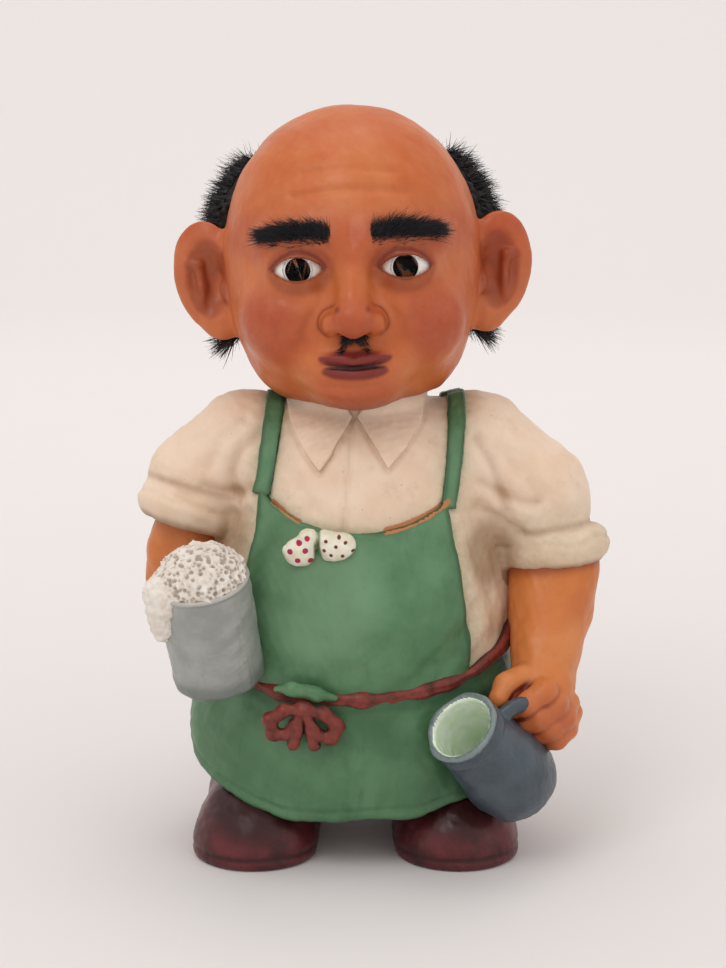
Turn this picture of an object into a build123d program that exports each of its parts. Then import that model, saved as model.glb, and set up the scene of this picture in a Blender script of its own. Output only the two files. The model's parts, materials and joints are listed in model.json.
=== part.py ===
from build123d import *
from math import atan2, degrees, sqrt
import os

# A nodding garden figure: a stout innkeeper with a mug of beer in one hand and an empty jug in the other.
# The figure faces -Y. The body is one hollow vinyl casting with a plaster ballast in its feet. The head is a
# second hollow casting that stands on a coil spring between two turned plugs, so it nods, sways and turns.
# Fur, eyes and both drinking vessels are separate pieces that are glued in place.
# Millimetres, +Z up. Shapes are placed about the body's own axis, and AXIS moves that axis so that the origin
# is under the middle of the whole figure, on the ground. "Right" and "left" are the figure's own.

AXIS = Vector(-7.26, 9.5, 0)

# Castings
WALL = 3.0
GLUE_GAP = 0.25
BALLAST_LEVEL = 24.0

# Sizes of cutting shapes: wider than the whole figure, and how far one runs past what it cuts
ROOMY, CLEAR = 400.0, 1.0

# Trunk and trousers: height, half width, front and back of each ellipse
TRUNK = [
    (17, 44, -40, 36),
    (30, 56, -49, 43),
    (48, 62, -55, 47),
    (68, 63, -58, 49),
    (95, 61, -59, 48),
    (125, 56, -54, 45),
    (150, 52, -46, 41),
    (165, 51, -36, 38),
    (172, 45, -28, 34),
    (176, 35, -22, 30),
    (178.5, 26, -19, 26),
]
# Skirt of the apron: the same four numbers for each ellipse
SKIRT = [(10, 62, -57, 42), (28, 67, -61, 48), (48, 69, -62, 50), (70, 66, -61, 51), (110, 60, -56, 47)]
HEM_FRONT, HEM_SLOPE = 21.0, 22.0
TIE_FRONT, TIE_SLOPE, TIE_WIDTH = 68.0, 20.0, 7.0
APRON_FRONT = -58.0

# Raised cloth on the trunk: how far each stands out
BIB_RISE, LEAF_RISE, PLACKET_RISE, TIE_RISE = 1.4, 2.2, 0.8, 4.0
BIB = [(-38, 151), (-24, 141), (-4, 137), (20, 139), (36, 145), (41, 120), (53, 80), (-53, 80), (-44, 120)]
STRAPS = [[(-41, 148), (-34, 150), (-29, 195), (-35, 195)], [(33, 143), (40, 142), (44, 195), (38, 195)]]
COLLAR_LEAVES = [[(-2, 178), (-26, 190), (-24, 172), (-14, 160)], [(0, 178), (26, 190), (23, 173), (13, 161)]]
PLACKET = [(-5, 177), (-1, 177), (-2, 132), (-6, 132)]
PANEL_DEPTH = 90.0

# Each limb from here on: two ends, then the radius at each end
# Shoes, for the left foot: the sole's limb and the ankle's
SHOE = [((36, 9, 6), (41, -33, 3), 22, 25.5), ((38, 3, 14), (37, 3, 32), 21, 23)]

# Arms: sleeves, points of each arm with their radii, cuffs and hands
SLEEVES = [((-45, 3, 157), (-62, -1, 149), 27, 23.5), ((49, 3, 155), (74, -1, 136), 28, 24)]
RIGHT_ARM = [((-63, -2, 138), 17), ((-71, 2, 103), 15), ((-62, -26, 104), 10)]
LEFT_ARM = [((80, -2, 126), 18), ((79, -8, 96), 16), ((74, -24, 70), 12)]
CUFFS = [((-66, -5, 137), (0.28, 0.15, 0.95), 16), ((81, -4, 121), (-0.12, 0.1, 0.98), 15)]
CUFF_ROLL = 7.5
HANDS = [((-61, -31, 102), (-61, -31, 110), 11, 12), ((75, -28, 67), (75, -31, 60), 13.5, 13)]
KNUCKLE_RADIUS, FINGERTIP_RADIUS = 4.6, 4.0
FINGERS_RIGHT = [
    ((-64, -27, 116), (-53, -33, 115)),
    ((-66, -27, 108), (-53, -34, 107)),
    ((-65, -27, 100), (-54, -33, 99)),
]
FINGERS_LEFT = [
    ((61, -38, 62), (73, -42, 69)),
    ((66, -40, 56), (78, -41, 63)),
    ((71, -39, 52), (82, -38, 58)),
    ((76, -35, 49), (83, -34, 53)),
]

# Small cloth pieces cast with the body: the kerchief's two lobes, the bow's knot, loops and tails
KERCHIEF = [((-15, -53, 132), (-21, -51, 130), 4, 6.5), ((-13, -54, 132), (-5, -54, 132), 4, 6.5)]
BOW = [
    ((-21, -62, 69), (-19, -63, 67), 4.5, 4.4),
    ((-22, -63, 66), (-30, -61, 61), 2.6, 4.6),
    ((-18, -64, 66), (-10, -63, 61), 2.6, 4.6),
    ((-21, -63, 64), (-23, -62, 54), 2.2, 3),
    ((-19, -63, 64), (-16, -63, 54), 2.2, 3),
]

# Neck and nodding mechanism
NECK_CENTRE = (1.5, 3.0)
STUB_RADIUS, STUB_TOP, STUB_LENGTH = 21.0, 188.0, 20.0
COLLAR_RADIUS, COLLAR_THICKNESS, COLLAR_HEIGHT = 25.0, 3.5, 181.0
PLUG_FLANGE, PLUG_DEPTH, PLUG_GAP = 2.0, 10.0, 0.1
NECK_FLANGE_INSET, HEAD_FLANGE_LIP = 1.0, 3.0
SEAT_THICKNESS, SEAT_RIM, COIL_GAP = 1.2, 1.0, 0.3
SPRING_MEAN_RADIUS, SPRING_WIRE, SPRING_TURNS = 7.2, 1.6, 5
SPRING_HEIGHT = 15.0
SCREW_RADIUS, SCREW_HEAD_RADIUS, SCREW_HEAD_HEIGHT, SLOT_WIDTH = 2.0, 4.0, 2.2, 1.0
TOUCH, PILOT_GAP, HOLE_GAP = 0.05, 0.02, 0.06

SEAT_BOTTOM = STUB_TOP + PLUG_FLANGE + TOUCH
SPRING_BOTTOM = SEAT_BOTTOM + SEAT_THICKNESS + TOUCH
PIVOT_HEIGHT = SPRING_BOTTOM + SPRING_HEIGHT / 2
HEAD_PLUG_BOTTOM = 2 * PIVOT_HEIGHT - STUB_TOP - PLUG_FLANGE
HEAD_PLUG_RADIUS = 14.0

# Head
HEAD_BOTTOM, HEAD_TOP = 181.0, 300.0
HEAD_HEIGHT = HEAD_TOP - HEAD_BOTTOM
HEAD_WIDTH = 103.0
HEAD_ROLL = -2.0
# Arcs of the head's outline: radii of chin, cheek, temple and crown
CHIN_ARC, CHEEK_ARC, TEMPLE_ARC, CROWN_ARC = 30.0, 110.0, 70.0, 48.0
EYE_LINE = HEAD_BOTTOM + HEAD_HEIGHT / 2
EYE_WIDTH = HEAD_WIDTH / 5
FACE_THIRD = HEAD_HEIGHT * 7 / 8 / 3
NOSE_BASE = HEAD_BOTTOM + FACE_THIRD
BROW_LINE = NOSE_BASE + FACE_THIRD
MOUTH_LINE = NOSE_BASE - FACE_THIRD / 3
EYEBALL, EYE_DEPTH, EYE_GAP, LID = 12.0, 38.5, 0.1, 1.8
EYE_OPENING = (9.5, 4.8)
GAZE_CAP, IRIS_RADIUS, IRIS_THICKNESS = 10.4, 4.9, 0.4
# Nose and lips: centre and radii of each ellipsoid
NOSE = [((0, -53, NOSE_BASE + 7), (EYE_WIDTH / 2, 11, 7.5)), ((0, -50, NOSE_BASE + 17), (5.5, 8.5, 15))]
LIPS = [((0, -45.5, MOUTH_LINE + 1.8), (15, 8, 2.6)), ((0, -44.5, MOUTH_LINE - 2.2), (13, 8, 3))]
# The hollow under the head that the neck stands in
RECESS_RADIUS, RECESS_TOP_RADIUS, RECESS_BOTTOM = 33.5, 29.0, 176.0
EAR_CENTRE, EAR_RADII, EAR_TURN = (57.5, 3, EYE_LINE - 9), (15, 6.5, 24), 14.0
EAR_CUP_SHIFT, EAR_CUP_RADII = Vector(3.5, -7, 1), (8.5, 6.5, 17)

# Fur glued to the head
BACKING_GAP = 0.4
HAIR_PILE, BROW_PILE, MOUSTACHE_PILE = 13.0, 5.0, 3.5
# Each of these boxes is a centre, a slope in degrees and a size
FRINGE_BOX = ((0, 57, 244), -8, (160, 100, 76))
CROWN_BOX, NAPE_BOX = ((0, 0, 312), -14, (200, 200, 60)), ((0, 20, 196), -6, (200, 100, 20))
BROW_CENTRE, BROW_SIZE, BROW_SLANT = (EYE_WIDTH, -50, BROW_LINE + 3), (27, 30, 7), 8.0
MOUSTACHE_CENTRE, MOUSTACHE_SIZE = (0, -50, NOSE_BASE - 4), (18, 40, 5.5)

# Vessels: the foot's centre, the direction of the axis and how far the handle is turned about it
STEIN_FOOT, STEIN_UP, STEIN_HANDLE_TURN = (-54.0, -53.0, 83.0), (-0.13, -0.30, 0.94), 35.0
STEIN_RADIUS, STEIN_HEIGHT, STEIN_HANDLE_MIDDLE = 18.5, 42.0, 22.0
STEIN_FOOT_ROUND, JUG_FLOOR_ROUND = 5.0, 5.0
# Froth, in the mug's own frame: the dome's radii, and centre and radii of each drop of the run
FROTH_RADII, FROTH_RISE, FROTH_ROOT = (18, 18, 12), 1.0, 8.0
FROTH_RUN = [((-14, -10, 42), (8, 8, 8)), ((-15, -11, 30), (6.5, 6.5, 10))]
JUG_FOOT, JUG_UP, JUG_HANDLE_TURN = (67.0, -44.0, 31.0), (-0.52, -0.53, 0.67), -20.0
JUG_RADIUS, JUG_MOUTH, JUG_HEIGHT, JUG_HANDLE_MIDDLE = 18.5, 14.5, 50.0, 26.0
JUG_BACK_RADIUS = 15.0
# How far the jug's foot is drawn in, and the heights of belly and shoulder as shares of the whole
JUG_FOOT_INSET, JUG_FOOT_SLOPE, JUG_BELLY, JUG_SHOULDER = 6.0, (1, 0.25), 0.3, 0.86
VESSEL_WALL = 2.2
HANDLE_RING, HANDLE_THICKNESS = 11.0, 3.0


def ball(centre, radius):
    """A ball whose poles face front and back and whose seam faces the body's axis."""
    seam_turn = 180 if centre[0] > 0 else 0
    return Pos(*centre) * Rot(0, 0, seam_turn) * Rot(90, 0, 0) * Sphere(radius)


def ellipsoid(centre, radii, turn=(0, 0, 0)):
    """A solid ellipsoid, turned about X, Y and Z in degrees."""
    seam_turn = 180 if centre[0] > 0 else 0
    unit = Rot(0, 0, seam_turn) * Rot(90, 0, 0) * Sphere(1)
    return Pos(*centre) * Rot(*turn) * scale(unit, by=tuple(radii))


def limb(start, end, start_radius, end_radius):
    """A round tapered limb between two points, closed with a ball at each end."""
    start, end = Vector(start), Vector(end)
    length = (end - start).length
    axis = Plane(origin=start, z_dir=end - start)
    cone = axis * Pos(0, 0, length / 2) * Cone(start_radius, end_radius, length)
    return cone + Pos(*start) * Sphere(start_radius) + Pos(*end) * Sphere(end_radius)


def above(height):
    """Everything above a height."""
    return Pos(0, 0, height + ROOMY / 2) * Box(ROOMY, ROOMY, ROOMY)


def fuse_all(shapes):
    """One solid out of several that overlap."""
    return shapes[0].fuse(*shapes[1:])


def neck_disc(radius, low, high):
    """A round disc on the neck's axis between two heights."""
    return Pos(*NECK_CENTRE, (low + high) / 2) * Cylinder(radius, high - low)


# ---- vessels ----


def vessel_frame(foot, up):
    return Plane(origin=foot, x_dir=Vector(0, 0, 1).cross(Vector(up)), z_dir=up)


STEIN_FRAME = vessel_frame(STEIN_FOOT, STEIN_UP)
JUG_FRAME = vessel_frame(JUG_FOOT, JUG_UP)


def stein_blank(grow=0.0):
    """The upright mug's outside, standing at the origin, as one closed round solid."""
    blank = Pos(0, 0, STEIN_HEIGHT / 2) * Cylinder(STEIN_RADIUS + grow, STEIN_HEIGHT + 2 * grow)
    foot_edge = blank.edges().sort_by(Axis.Z)[0]
    return fillet(foot_edge, STEIN_FOOT_ROUND)


def jug_blank(grow=0.0):
    """The jug's outside, standing at the origin: a round belly that draws in to a narrower mouth."""
    mouth, belly = JUG_MOUTH + grow, JUG_RADIUS + grow
    foot_edge, shoulder = (belly - JUG_FOOT_INSET, -grow), (mouth, JUG_HEIGHT * JUG_SHOULDER)
    side = [foot_edge, (belly, JUG_HEIGHT * JUG_BELLY), shoulder]
    with BuildSketch(Plane.XZ) as outline:
        with BuildLine():
            Spline(*side, tangents=(JUG_FOOT_SLOPE, (0, 1)))
            Polyline(shoulder, (mouth, JUG_HEIGHT + grow), (0, JUG_HEIGHT + grow), (0, -grow), foot_edge)
        make_face()
    return revolve(outline.sketch, Axis.Z)


def ring_handle(turn, radius, middle, grow=0.0):
    """The outer part of a ring on the side of a vessel, rooted in the vessel's wall."""
    ring = Pos(0, radius, middle) * Rot(0, 90, 0) * Torus(HANDLE_RING, HANDLE_THICKNESS + grow)
    core = Pos(0, 0, middle) * Cylinder(radius - VESSEL_WALL / 2, 4 * HANDLE_RING)
    return Rot(0, 0, turn) * (ring - core)


def stein_handle(grow=0.0):
    return ring_handle(STEIN_HANDLE_TURN, STEIN_RADIUS, STEIN_HANDLE_MIDDLE, grow)


def jug_handle(grow=0.0):
    return ring_handle(JUG_HANDLE_TURN, JUG_BACK_RADIUS, JUG_HANDLE_MIDDLE, grow)


def stein_room():
    radius = STEIN_RADIUS - VESSEL_WALL
    return Pos(0, 0, VESSEL_WALL + STEIN_HEIGHT / 2) * Cylinder(radius, STEIN_HEIGHT)


def jug_room():
    depth = JUG_HEIGHT - 3 * VESSEL_WALL
    room = Pos(0, 0, JUG_HEIGHT - depth / 2 + CLEAR) * Cylinder(JUG_MOUTH - VESSEL_WALL, depth + 2 * CLEAR)
    floor_edge = room.edges().sort_by(Axis.Z)[0]
    return fillet(floor_edge, JUG_FLOOR_ROUND)


def stein_outside(grow=0.0):
    return STEIN_FRAME * stein_blank(grow)


def jug_outside(grow=0.0):
    return JUG_FRAME * jug_blank(grow)


def make_stein():
    return STEIN_FRAME * (stein_blank() - stein_room() + stein_handle())


def make_jug():
    return JUG_FRAME * (jug_blank() + jug_handle() - jug_room())


def make_foam():
    """The head of froth: a dome on the rim, its root inside the mug, and a run down the outer side."""
    dome = Pos(0, 0, STEIN_HEIGHT + FROTH_RISE) * scale(Sphere(1), by=FROTH_RADII)
    root_radius = STEIN_RADIUS - VESSEL_WALL - GLUE_GAP
    root = Pos(0, 0, STEIN_HEIGHT - FROTH_ROOT / 4) * Cylinder(root_radius, FROTH_ROOT)
    run = fuse_all([ellipsoid(centre, radii) for centre, radii in FROTH_RUN])
    return STEIN_FRAME * ((dome & above(STEIN_HEIGHT + GLUE_GAP)) + root + (run - stein_blank(GLUE_GAP)))


# ---- body casting ----


def loft_ellipses(table, inset):
    """A loft through level ellipses. An inset draws every side in, and a negative one grows it."""
    sections = []
    for height, half_width, front, back in table:
        plane = Plane(origin=(0, (front + back) / 2, height))
        sections.append(plane * Ellipse(half_width - inset, (back - front) / 2 - inset))
    return loft(sections)


def trunk(inset=0.0):
    return loft_ellipses(TRUNK, inset)


def prism(outline, front=PANEL_DEPTH, back=0.0):
    """An outline seen from the front, run from front to back."""
    face = Plane.XZ.offset(-back) * make_face(Polyline(*outline, close=True))
    return extrude(face, front + back)


def slope_slab(height, slope, thickness):
    """A slab that rises to the back, with its lower face at a height on the apron's front."""
    slab = Pos(0, 0, thickness / 2) * Box(ROOMY, ROOMY, thickness)
    return Pos(0, APRON_FRONT, height) * Rot(slope, 0, 0) * slab


def apron():
    """Skirt between its hem and the tie, the tie itself, and the bib with its straps."""
    skirt = loft_ellipses(SKIRT, 0) & slope_slab(HEM_FRONT, HEM_SLOPE, TIE_FRONT - HEM_FRONT)
    tie = trunk(-TIE_RISE) & slope_slab(TIE_FRONT, TIE_SLOPE, TIE_WIDTH)
    straps = [prism(strap, back=PANEL_DEPTH) for strap in STRAPS]
    return [skirt, tie, trunk(-BIB_RISE) & fuse_all([prism(BIB), *straps])]


def shirt_front():
    leaves = fuse_all([prism(leaf) for leaf in COLLAR_LEAVES])
    return [trunk(-LEAF_RISE) & leaves, trunk(-PLACKET_RISE) & prism(PLACKET)]


def shoe(side, inset=0.0):
    """A wide round shoe with its ankle, turned out at the toe and flat underneath."""
    sole, ankle = [limb(start, end, low - inset, high - inset) for start, end, low, high in SHOE]
    foot = (sole + ankle) & above(inset)
    return foot if side > 0 else mirror(foot, about=Plane.YZ)


def sleeves(inset=0.0):
    return [limb(start, end, high - inset, low - inset) for start, end, high, low in SLEEVES]


def arm(points, inset=0.0):
    """Upper arm and forearm along three points, each with its radius."""
    (top, top_radius), (elbow, elbow_radius), (wrist, wrist_radius) = points
    upper = limb(top, elbow, top_radius - inset, elbow_radius - inset)
    fore = limb(elbow, wrist, elbow_radius - inset, wrist_radius - inset)
    return upper + fore


def cuffs():
    return [Plane(origin=centre, z_dir=up) * Torus(radius, CUFF_ROLL) for centre, up, radius in CUFFS]


def hands():
    fingers = [(start, end, KNUCKLE_RADIUS, FINGERTIP_RADIUS) for start, end in FINGERS_RIGHT + FINGERS_LEFT]
    return [limb(*piece) for piece in HANDS + fingers]


def neck():
    """The neck's stub and the shirt's stand collar round it."""
    ring = Pos(*NECK_CENTRE, COLLAR_HEIGHT) * Torus(COLLAR_RADIUS, COLLAR_THICKNESS)
    return [ring, neck_disc(STUB_RADIUS, STUB_TOP - STUB_LENGTH, STUB_TOP)]


def small_cloth():
    return [limb(*piece) for piece in KERCHIEF + BOW]


def body_hollow(inset):
    """The inside of the body casting, clear of both vessels by the wall."""
    feet = [shoe(-1, inset), shoe(1, inset)]
    parts = [trunk(inset) & above(TRUNK[0][0] + inset), *sleeves(inset), *feet]
    neck_hole = neck_disc(STUB_RADIUS - WALL, STUB_TOP - STUB_LENGTH - PLUG_DEPTH, STUB_TOP + CLEAR)
    return fuse_all(parts) - stein_outside(inset) - jug_outside(inset) + neck_hole


def make_body():
    cloth = [*apron(), *shirt_front(), *small_cloth(), *sleeves(), *cuffs()]
    limbs = [arm(RIGHT_ARM), arm(LEFT_ARM), *hands(), *neck(), shoe(-1), shoe(1)]
    solid = fuse_all([trunk(), *cloth, *limbs]) - body_hollow(WALL)
    handles = [STEIN_FRAME * stein_handle(GLUE_GAP), JUG_FRAME * jug_handle(GLUE_GAP)]
    for vessel in [stein_outside(GLUE_GAP), jug_outside(GLUE_GAP), *handles]:
        solid -= vessel
    return solid


def make_ballast():
    """Plaster that was poured into the feet, level on top."""
    below_level = Pos(0, 0, BALLAST_LEVEL / 2) * Box(ROOMY, ROOMY, BALLAST_LEVEL)
    return body_hollow(WALL + GLUE_GAP) & below_level


# ---- nodding mechanism ----


def flipped(shape):
    """The same piece at the spring's other end, upside down."""
    return mirror(shape, about=Plane.XY.offset(PIVOT_HEIGHT))


def make_neck_plug():
    """Turned plug glued in the neck, drilled for the screw that holds the spring's seat."""
    flange = neck_disc(STUB_RADIUS - NECK_FLANGE_INSET, STUB_TOP + TOUCH, STUB_TOP + PLUG_FLANGE)
    plug = neck_disc(STUB_RADIUS - WALL - PLUG_GAP, STUB_TOP - PLUG_DEPTH, STUB_TOP + PLUG_FLANGE)
    return flange + plug - pilot_hole()


def pilot_hole():
    return neck_disc(SCREW_RADIUS + PILOT_GAP, STUB_TOP - PLUG_DEPTH + CLEAR, STUB_TOP + PLUG_FLANGE)


def make_spring_seat():
    """Pressed cup that holds one end coil of the spring, with a hole for its screw."""
    inside = SPRING_MEAN_RADIUS + SPRING_WIRE / 2 + COIL_GAP
    cup = neck_disc(inside + SEAT_RIM, SEAT_BOTTOM, SEAT_BOTTOM + SEAT_THICKNESS + SPRING_WIRE)
    cup -= neck_disc(inside, SEAT_BOTTOM + SEAT_THICKNESS, PIVOT_HEIGHT)
    return cup - neck_disc(SCREW_RADIUS + HOLE_GAP, SEAT_BOTTOM - CLEAR, PIVOT_HEIGHT)


def make_seat_screw():
    head_bottom = SEAT_BOTTOM + SEAT_THICKNESS + TOUCH
    head_top = head_bottom + SCREW_HEAD_HEIGHT
    shank = neck_disc(SCREW_RADIUS, STUB_TOP - PLUG_DEPTH + 2 * CLEAR, head_top - SLOT_WIDTH)
    pan = neck_disc(SCREW_HEAD_RADIUS, head_bottom, head_top)
    slot = Pos(*NECK_CENTRE, head_top) * Box(3 * SCREW_HEAD_RADIUS, SLOT_WIDTH, SCREW_HEAD_HEIGHT)
    return shank + pan - slot


def make_spring():
    rise = SPRING_HEIGHT - SPRING_WIRE
    centre = (*NECK_CENTRE, SPRING_BOTTOM + SPRING_WIRE / 2)
    path = Helix(rise / SPRING_TURNS, rise, SPRING_MEAN_RADIUS, center=centre)
    wire = Plane(origin=path @ 0, z_dir=path % 0) * Circle(SPRING_WIRE / 2)
    return sweep(wire, path, is_frenet=True)


def make_head_plug():
    """Turned plug glued in the head's opening, drilled for the upper screw."""
    flange = neck_disc(HEAD_PLUG_RADIUS + HEAD_FLANGE_LIP, HEAD_PLUG_BOTTOM, HEAD_PLUG_BOTTOM + PLUG_FLANGE)
    plug = neck_disc(HEAD_PLUG_RADIUS, HEAD_PLUG_BOTTOM, HEAD_PLUG_BOTTOM + PLUG_FLANGE + PLUG_DEPTH)
    return flange + plug - flipped(pilot_hole())


# ---- head casting and what is glued to it ----


def egg_outline():
    """Centre, radius and angles of each arc, from the chin to the crown, each tangent to the next."""
    half = HEAD_WIDTH / 2
    chin_drop = EYE_LINE - HEAD_BOTTOM - CHIN_ARC
    chin_reach = sqrt((CHEEK_ARC - CHIN_ARC) ** 2 - chin_drop**2)
    crown_rise = HEAD_TOP - EYE_LINE - CROWN_ARC
    crown_reach = sqrt((TEMPLE_ARC - CROWN_ARC) ** 2 - crown_rise**2)
    chin_angle = -degrees(atan2(chin_drop, chin_reach))
    crown_angle = degrees(atan2(crown_rise, crown_reach))
    return [
        ((half - CHEEK_ARC + chin_reach, -chin_drop), CHIN_ARC, -90, chin_angle),
        ((half - CHEEK_ARC, 0), CHEEK_ARC, chin_angle, 0),
        ((half - TEMPLE_ARC, 0), TEMPLE_ARC, 0, crown_angle),
        ((half - TEMPLE_ARC + crown_reach, crown_rise), CROWN_ARC, crown_angle, 90),
    ]


def skull(grow=0.0):
    """The egg of the head without its ears and face."""
    with BuildSketch(Plane.XZ) as outline:
        with BuildLine() as line:
            for centre, radius, start, end in egg_outline():
                CenterArc(centre, radius + grow, start, end - start)
            foot, crown = line.line @ 0, line.line @ 1
            Polyline(foot, (0, foot.Y), (0, crown.Y), crown)
        make_face()
    return Pos(0, 0, EYE_LINE) * revolve(outline.sketch, Axis.Z)


def ear(side):
    """A cupped ear that stands out from the side of the head."""
    x, y, z = EAR_CENTRE
    blade = ellipsoid((side * x, y, z), EAR_RADII, (0, 0, side * EAR_TURN))
    cup_centre = (side * (x + EAR_CUP_SHIFT.X), y + EAR_CUP_SHIFT.Y, z + EAR_CUP_SHIFT.Z)
    return blade - ellipsoid(cup_centre, EAR_CUP_RADII, (0, 0, side * EAR_TURN))


def recess(grow=0.0):
    top = HEAD_PLUG_BOTTOM + PLUG_FLANGE + grow
    cone = Cone(RECESS_RADIUS + grow, RECESS_TOP_RADIUS + grow, top - RECESS_BOTTOM)
    return Pos(*NECK_CENTRE, (top + RECESS_BOTTOM) / 2) * cone


def eye_centre(side):
    return side * EYE_WIDTH, -EYE_DEPTH, EYE_LINE


def eye_opening(side):
    """The almond between the lids, cut from the front to the eyeball's middle."""
    x, y, z = eye_centre(side)
    return extrude(Plane(origin=(x, y, z), z_dir=(0, -1, 0)) * Ellipse(*EYE_OPENING), EYE_DEPTH)


def grown_ellipsoids(table, grow=0.0):
    return fuse_all([ellipsoid(centre, [radius + grow for radius in radii]) for centre, radii in table])


def make_head():
    outside = fuse_all([skull(), ear(-1), ear(1), grown_ellipsoids(NOSE), grown_ellipsoids(LIPS)])
    hollow = skull(-WALL) - recess(WALL)
    for side in (-1, 1):
        outside += ball(eye_centre(side), EYEBALL + LID)
        hollow -= ball(eye_centre(side), EYEBALL + WALL)
    casting = outside - hollow - recess()
    plug_top = HEAD_PLUG_BOTTOM + PLUG_FLANGE + PLUG_DEPTH
    casting -= neck_disc(HEAD_PLUG_RADIUS + PLUG_GAP, HEAD_PLUG_BOTTOM, plug_top)
    for side in (-1, 1):
        casting -= ball(eye_centre(side), EYEBALL + EYE_GAP)
        casting -= eye_opening(side)
    return casting


def gaze(side, distance, thickness, radius):
    """A disc across the line of sight, at a distance in front of the eyeball's centre."""
    x, y, z = eye_centre(side)
    return Pos(x, y - distance - thickness / 2, z) * Rot(90, 0, 0) * Cylinder(radius, thickness)


def make_eye_white(side):
    return ball(eye_centre(side), EYEBALL) - gaze(side, GAZE_CAP, EYEBALL, EYEBALL)


def make_iris(side):
    return gaze(side, GAZE_CAP, IRIS_THICKNESS, IRIS_RADIUS)


def make_cornea(side):
    dome = ball(eye_centre(side), EYEBALL) & gaze(side, GAZE_CAP, EYEBALL, EYEBALL)
    return dome - make_iris(side)


def sloped_box(centre, slope, size):
    return Pos(*centre) * Rot(slope, 0, 0) * Box(*size)


def make_hair():
    """The fringe of hair from one temple round the back to the other, behind the ears."""
    fringe = (skull(HAIR_PILE) & sloped_box(*FRINGE_BOX)) - skull(BACKING_GAP)
    fringe -= sloped_box(*CROWN_BOX)
    fringe -= sloped_box(*NAPE_BOX)
    for side in (-1, 1):
        centre = (side * EAR_CENTRE[0], *EAR_CENTRE[1:])
        radii = [radius + BACKING_GAP for radius in EAR_RADII]
        fringe -= ellipsoid(centre, radii, (0, 0, side * EAR_TURN))
    return fringe


def make_eyebrow(side):
    """A strip of fur over one eye."""
    x, y, z = BROW_CENTRE
    bar = Pos(side * x, y, z) * Rot(0, side * BROW_SLANT, 0) * Box(*BROW_SIZE)
    lid = ball(eye_centre(side), EYEBALL + LID + BACKING_GAP)
    return (skull(BROW_PILE) & bar) - skull(BACKING_GAP) - lid


def make_moustache():
    """A small tuft of fur under the nose."""
    tuft = Pos(*MOUSTACHE_CENTRE) * Box(*MOUSTACHE_SIZE)
    return (skull(MOUSTACHE_PILE) & tuft) - skull(BACKING_GAP) - grown_ellipsoids(NOSE, BACKING_GAP)


BODY_PARTS = {
    "body_shell": make_body,
    "ballast": make_ballast,
    "neck_plug": make_neck_plug,
    "seat_screw": make_seat_screw,
    "stein": make_stein,
    "stein_foam": make_foam,
    "jug": make_jug,
    "spring_seat": make_spring_seat,
    "neck_spring": make_spring,
}
HEAD_PARTS = {
    "head_shell": make_head,
    "head_plug": make_head_plug,
    "head_seat": lambda: flipped(make_spring_seat()),
    "head_screw": lambda: flipped(make_seat_screw()),
    "eye_white_right": lambda: make_eye_white(-1),
    "eye_white_left": lambda: make_eye_white(1),
    "iris_right": lambda: make_iris(-1),
    "iris_left": lambda: make_iris(1),
    "cornea_right": lambda: make_cornea(-1),
    "cornea_left": lambda: make_cornea(1),
    "hair_fringe": make_hair,
    "eyebrow_right": lambda: make_eyebrow(-1),
    "eyebrow_left": lambda: make_eyebrow(1),
    "moustache": make_moustache,
}

os.makedirs("parts", exist_ok=True)
pivot = Vector(*NECK_CENTRE, PIVOT_HEIGHT)
lean = Pos(*pivot) * Rot(0, HEAD_ROLL, 0) * Pos(*(-pivot))
for name, make in BODY_PARTS.items():
    export_step(Pos(*AXIS) * make(), f"parts/{name}.step")
for name, make in HEAD_PARTS.items():
    export_step(Pos(*AXIS) * lean * make(), f"parts/{name}.step")
print("pivot", pivot + AXIS)
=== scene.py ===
import json
import math

import bpy
import numpy as np
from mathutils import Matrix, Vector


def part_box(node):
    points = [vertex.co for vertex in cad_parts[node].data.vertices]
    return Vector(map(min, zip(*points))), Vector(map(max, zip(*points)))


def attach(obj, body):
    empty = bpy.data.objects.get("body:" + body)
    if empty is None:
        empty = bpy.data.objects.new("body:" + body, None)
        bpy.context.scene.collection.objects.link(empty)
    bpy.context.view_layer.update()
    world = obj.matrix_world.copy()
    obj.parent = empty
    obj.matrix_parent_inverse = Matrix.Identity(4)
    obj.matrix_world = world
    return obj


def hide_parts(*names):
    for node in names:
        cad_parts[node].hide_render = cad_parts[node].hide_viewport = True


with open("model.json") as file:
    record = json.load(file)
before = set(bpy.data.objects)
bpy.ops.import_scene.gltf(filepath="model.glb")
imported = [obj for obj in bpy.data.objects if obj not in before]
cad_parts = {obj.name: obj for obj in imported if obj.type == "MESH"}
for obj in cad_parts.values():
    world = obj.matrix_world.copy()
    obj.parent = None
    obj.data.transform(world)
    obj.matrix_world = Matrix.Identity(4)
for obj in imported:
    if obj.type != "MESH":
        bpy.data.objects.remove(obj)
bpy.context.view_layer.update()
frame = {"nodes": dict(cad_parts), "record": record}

import openvdb
from mathutils import Vector

rng = np.random.default_rng(7)

# Shapes are written in millimetres about the body's own axis, as in the CAD. The neck joint says where that
# axis is in the row frame.
JOINTS = {joint["name"]: joint for joint in frame["record"]["behaviour"]["joints"]}
NECK = np.array([1.5, 3.0])
TURN_AT = np.array(JOINTS["head_turn"]["pos_m"]) * 1000
AXIS = np.array([TURN_AT[0] - NECK[0], TURN_AT[1] - NECK[1], 0.0])
PIVOT = np.array(JOINTS["head_nod"]["pos_m"]) * 1000 - AXIS
HEAD_ROLL = math.radians(-2.0)
COARSE = 1.0


# ---------------------------------------------------------------- fields

def vec(*values):
    return np.array(values, dtype=np.float32)


def length(d):
    return np.sqrt((d * d).sum(-1))


def smin(a, b, k):
    h = np.clip(0.5 + 0.5 * (b - a) / k, 0, 1)
    return b * (1 - h) + a * h - k * h * (1 - h)


def smax(a, b, k):
    return -smin(-a, -b, k)


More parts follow.
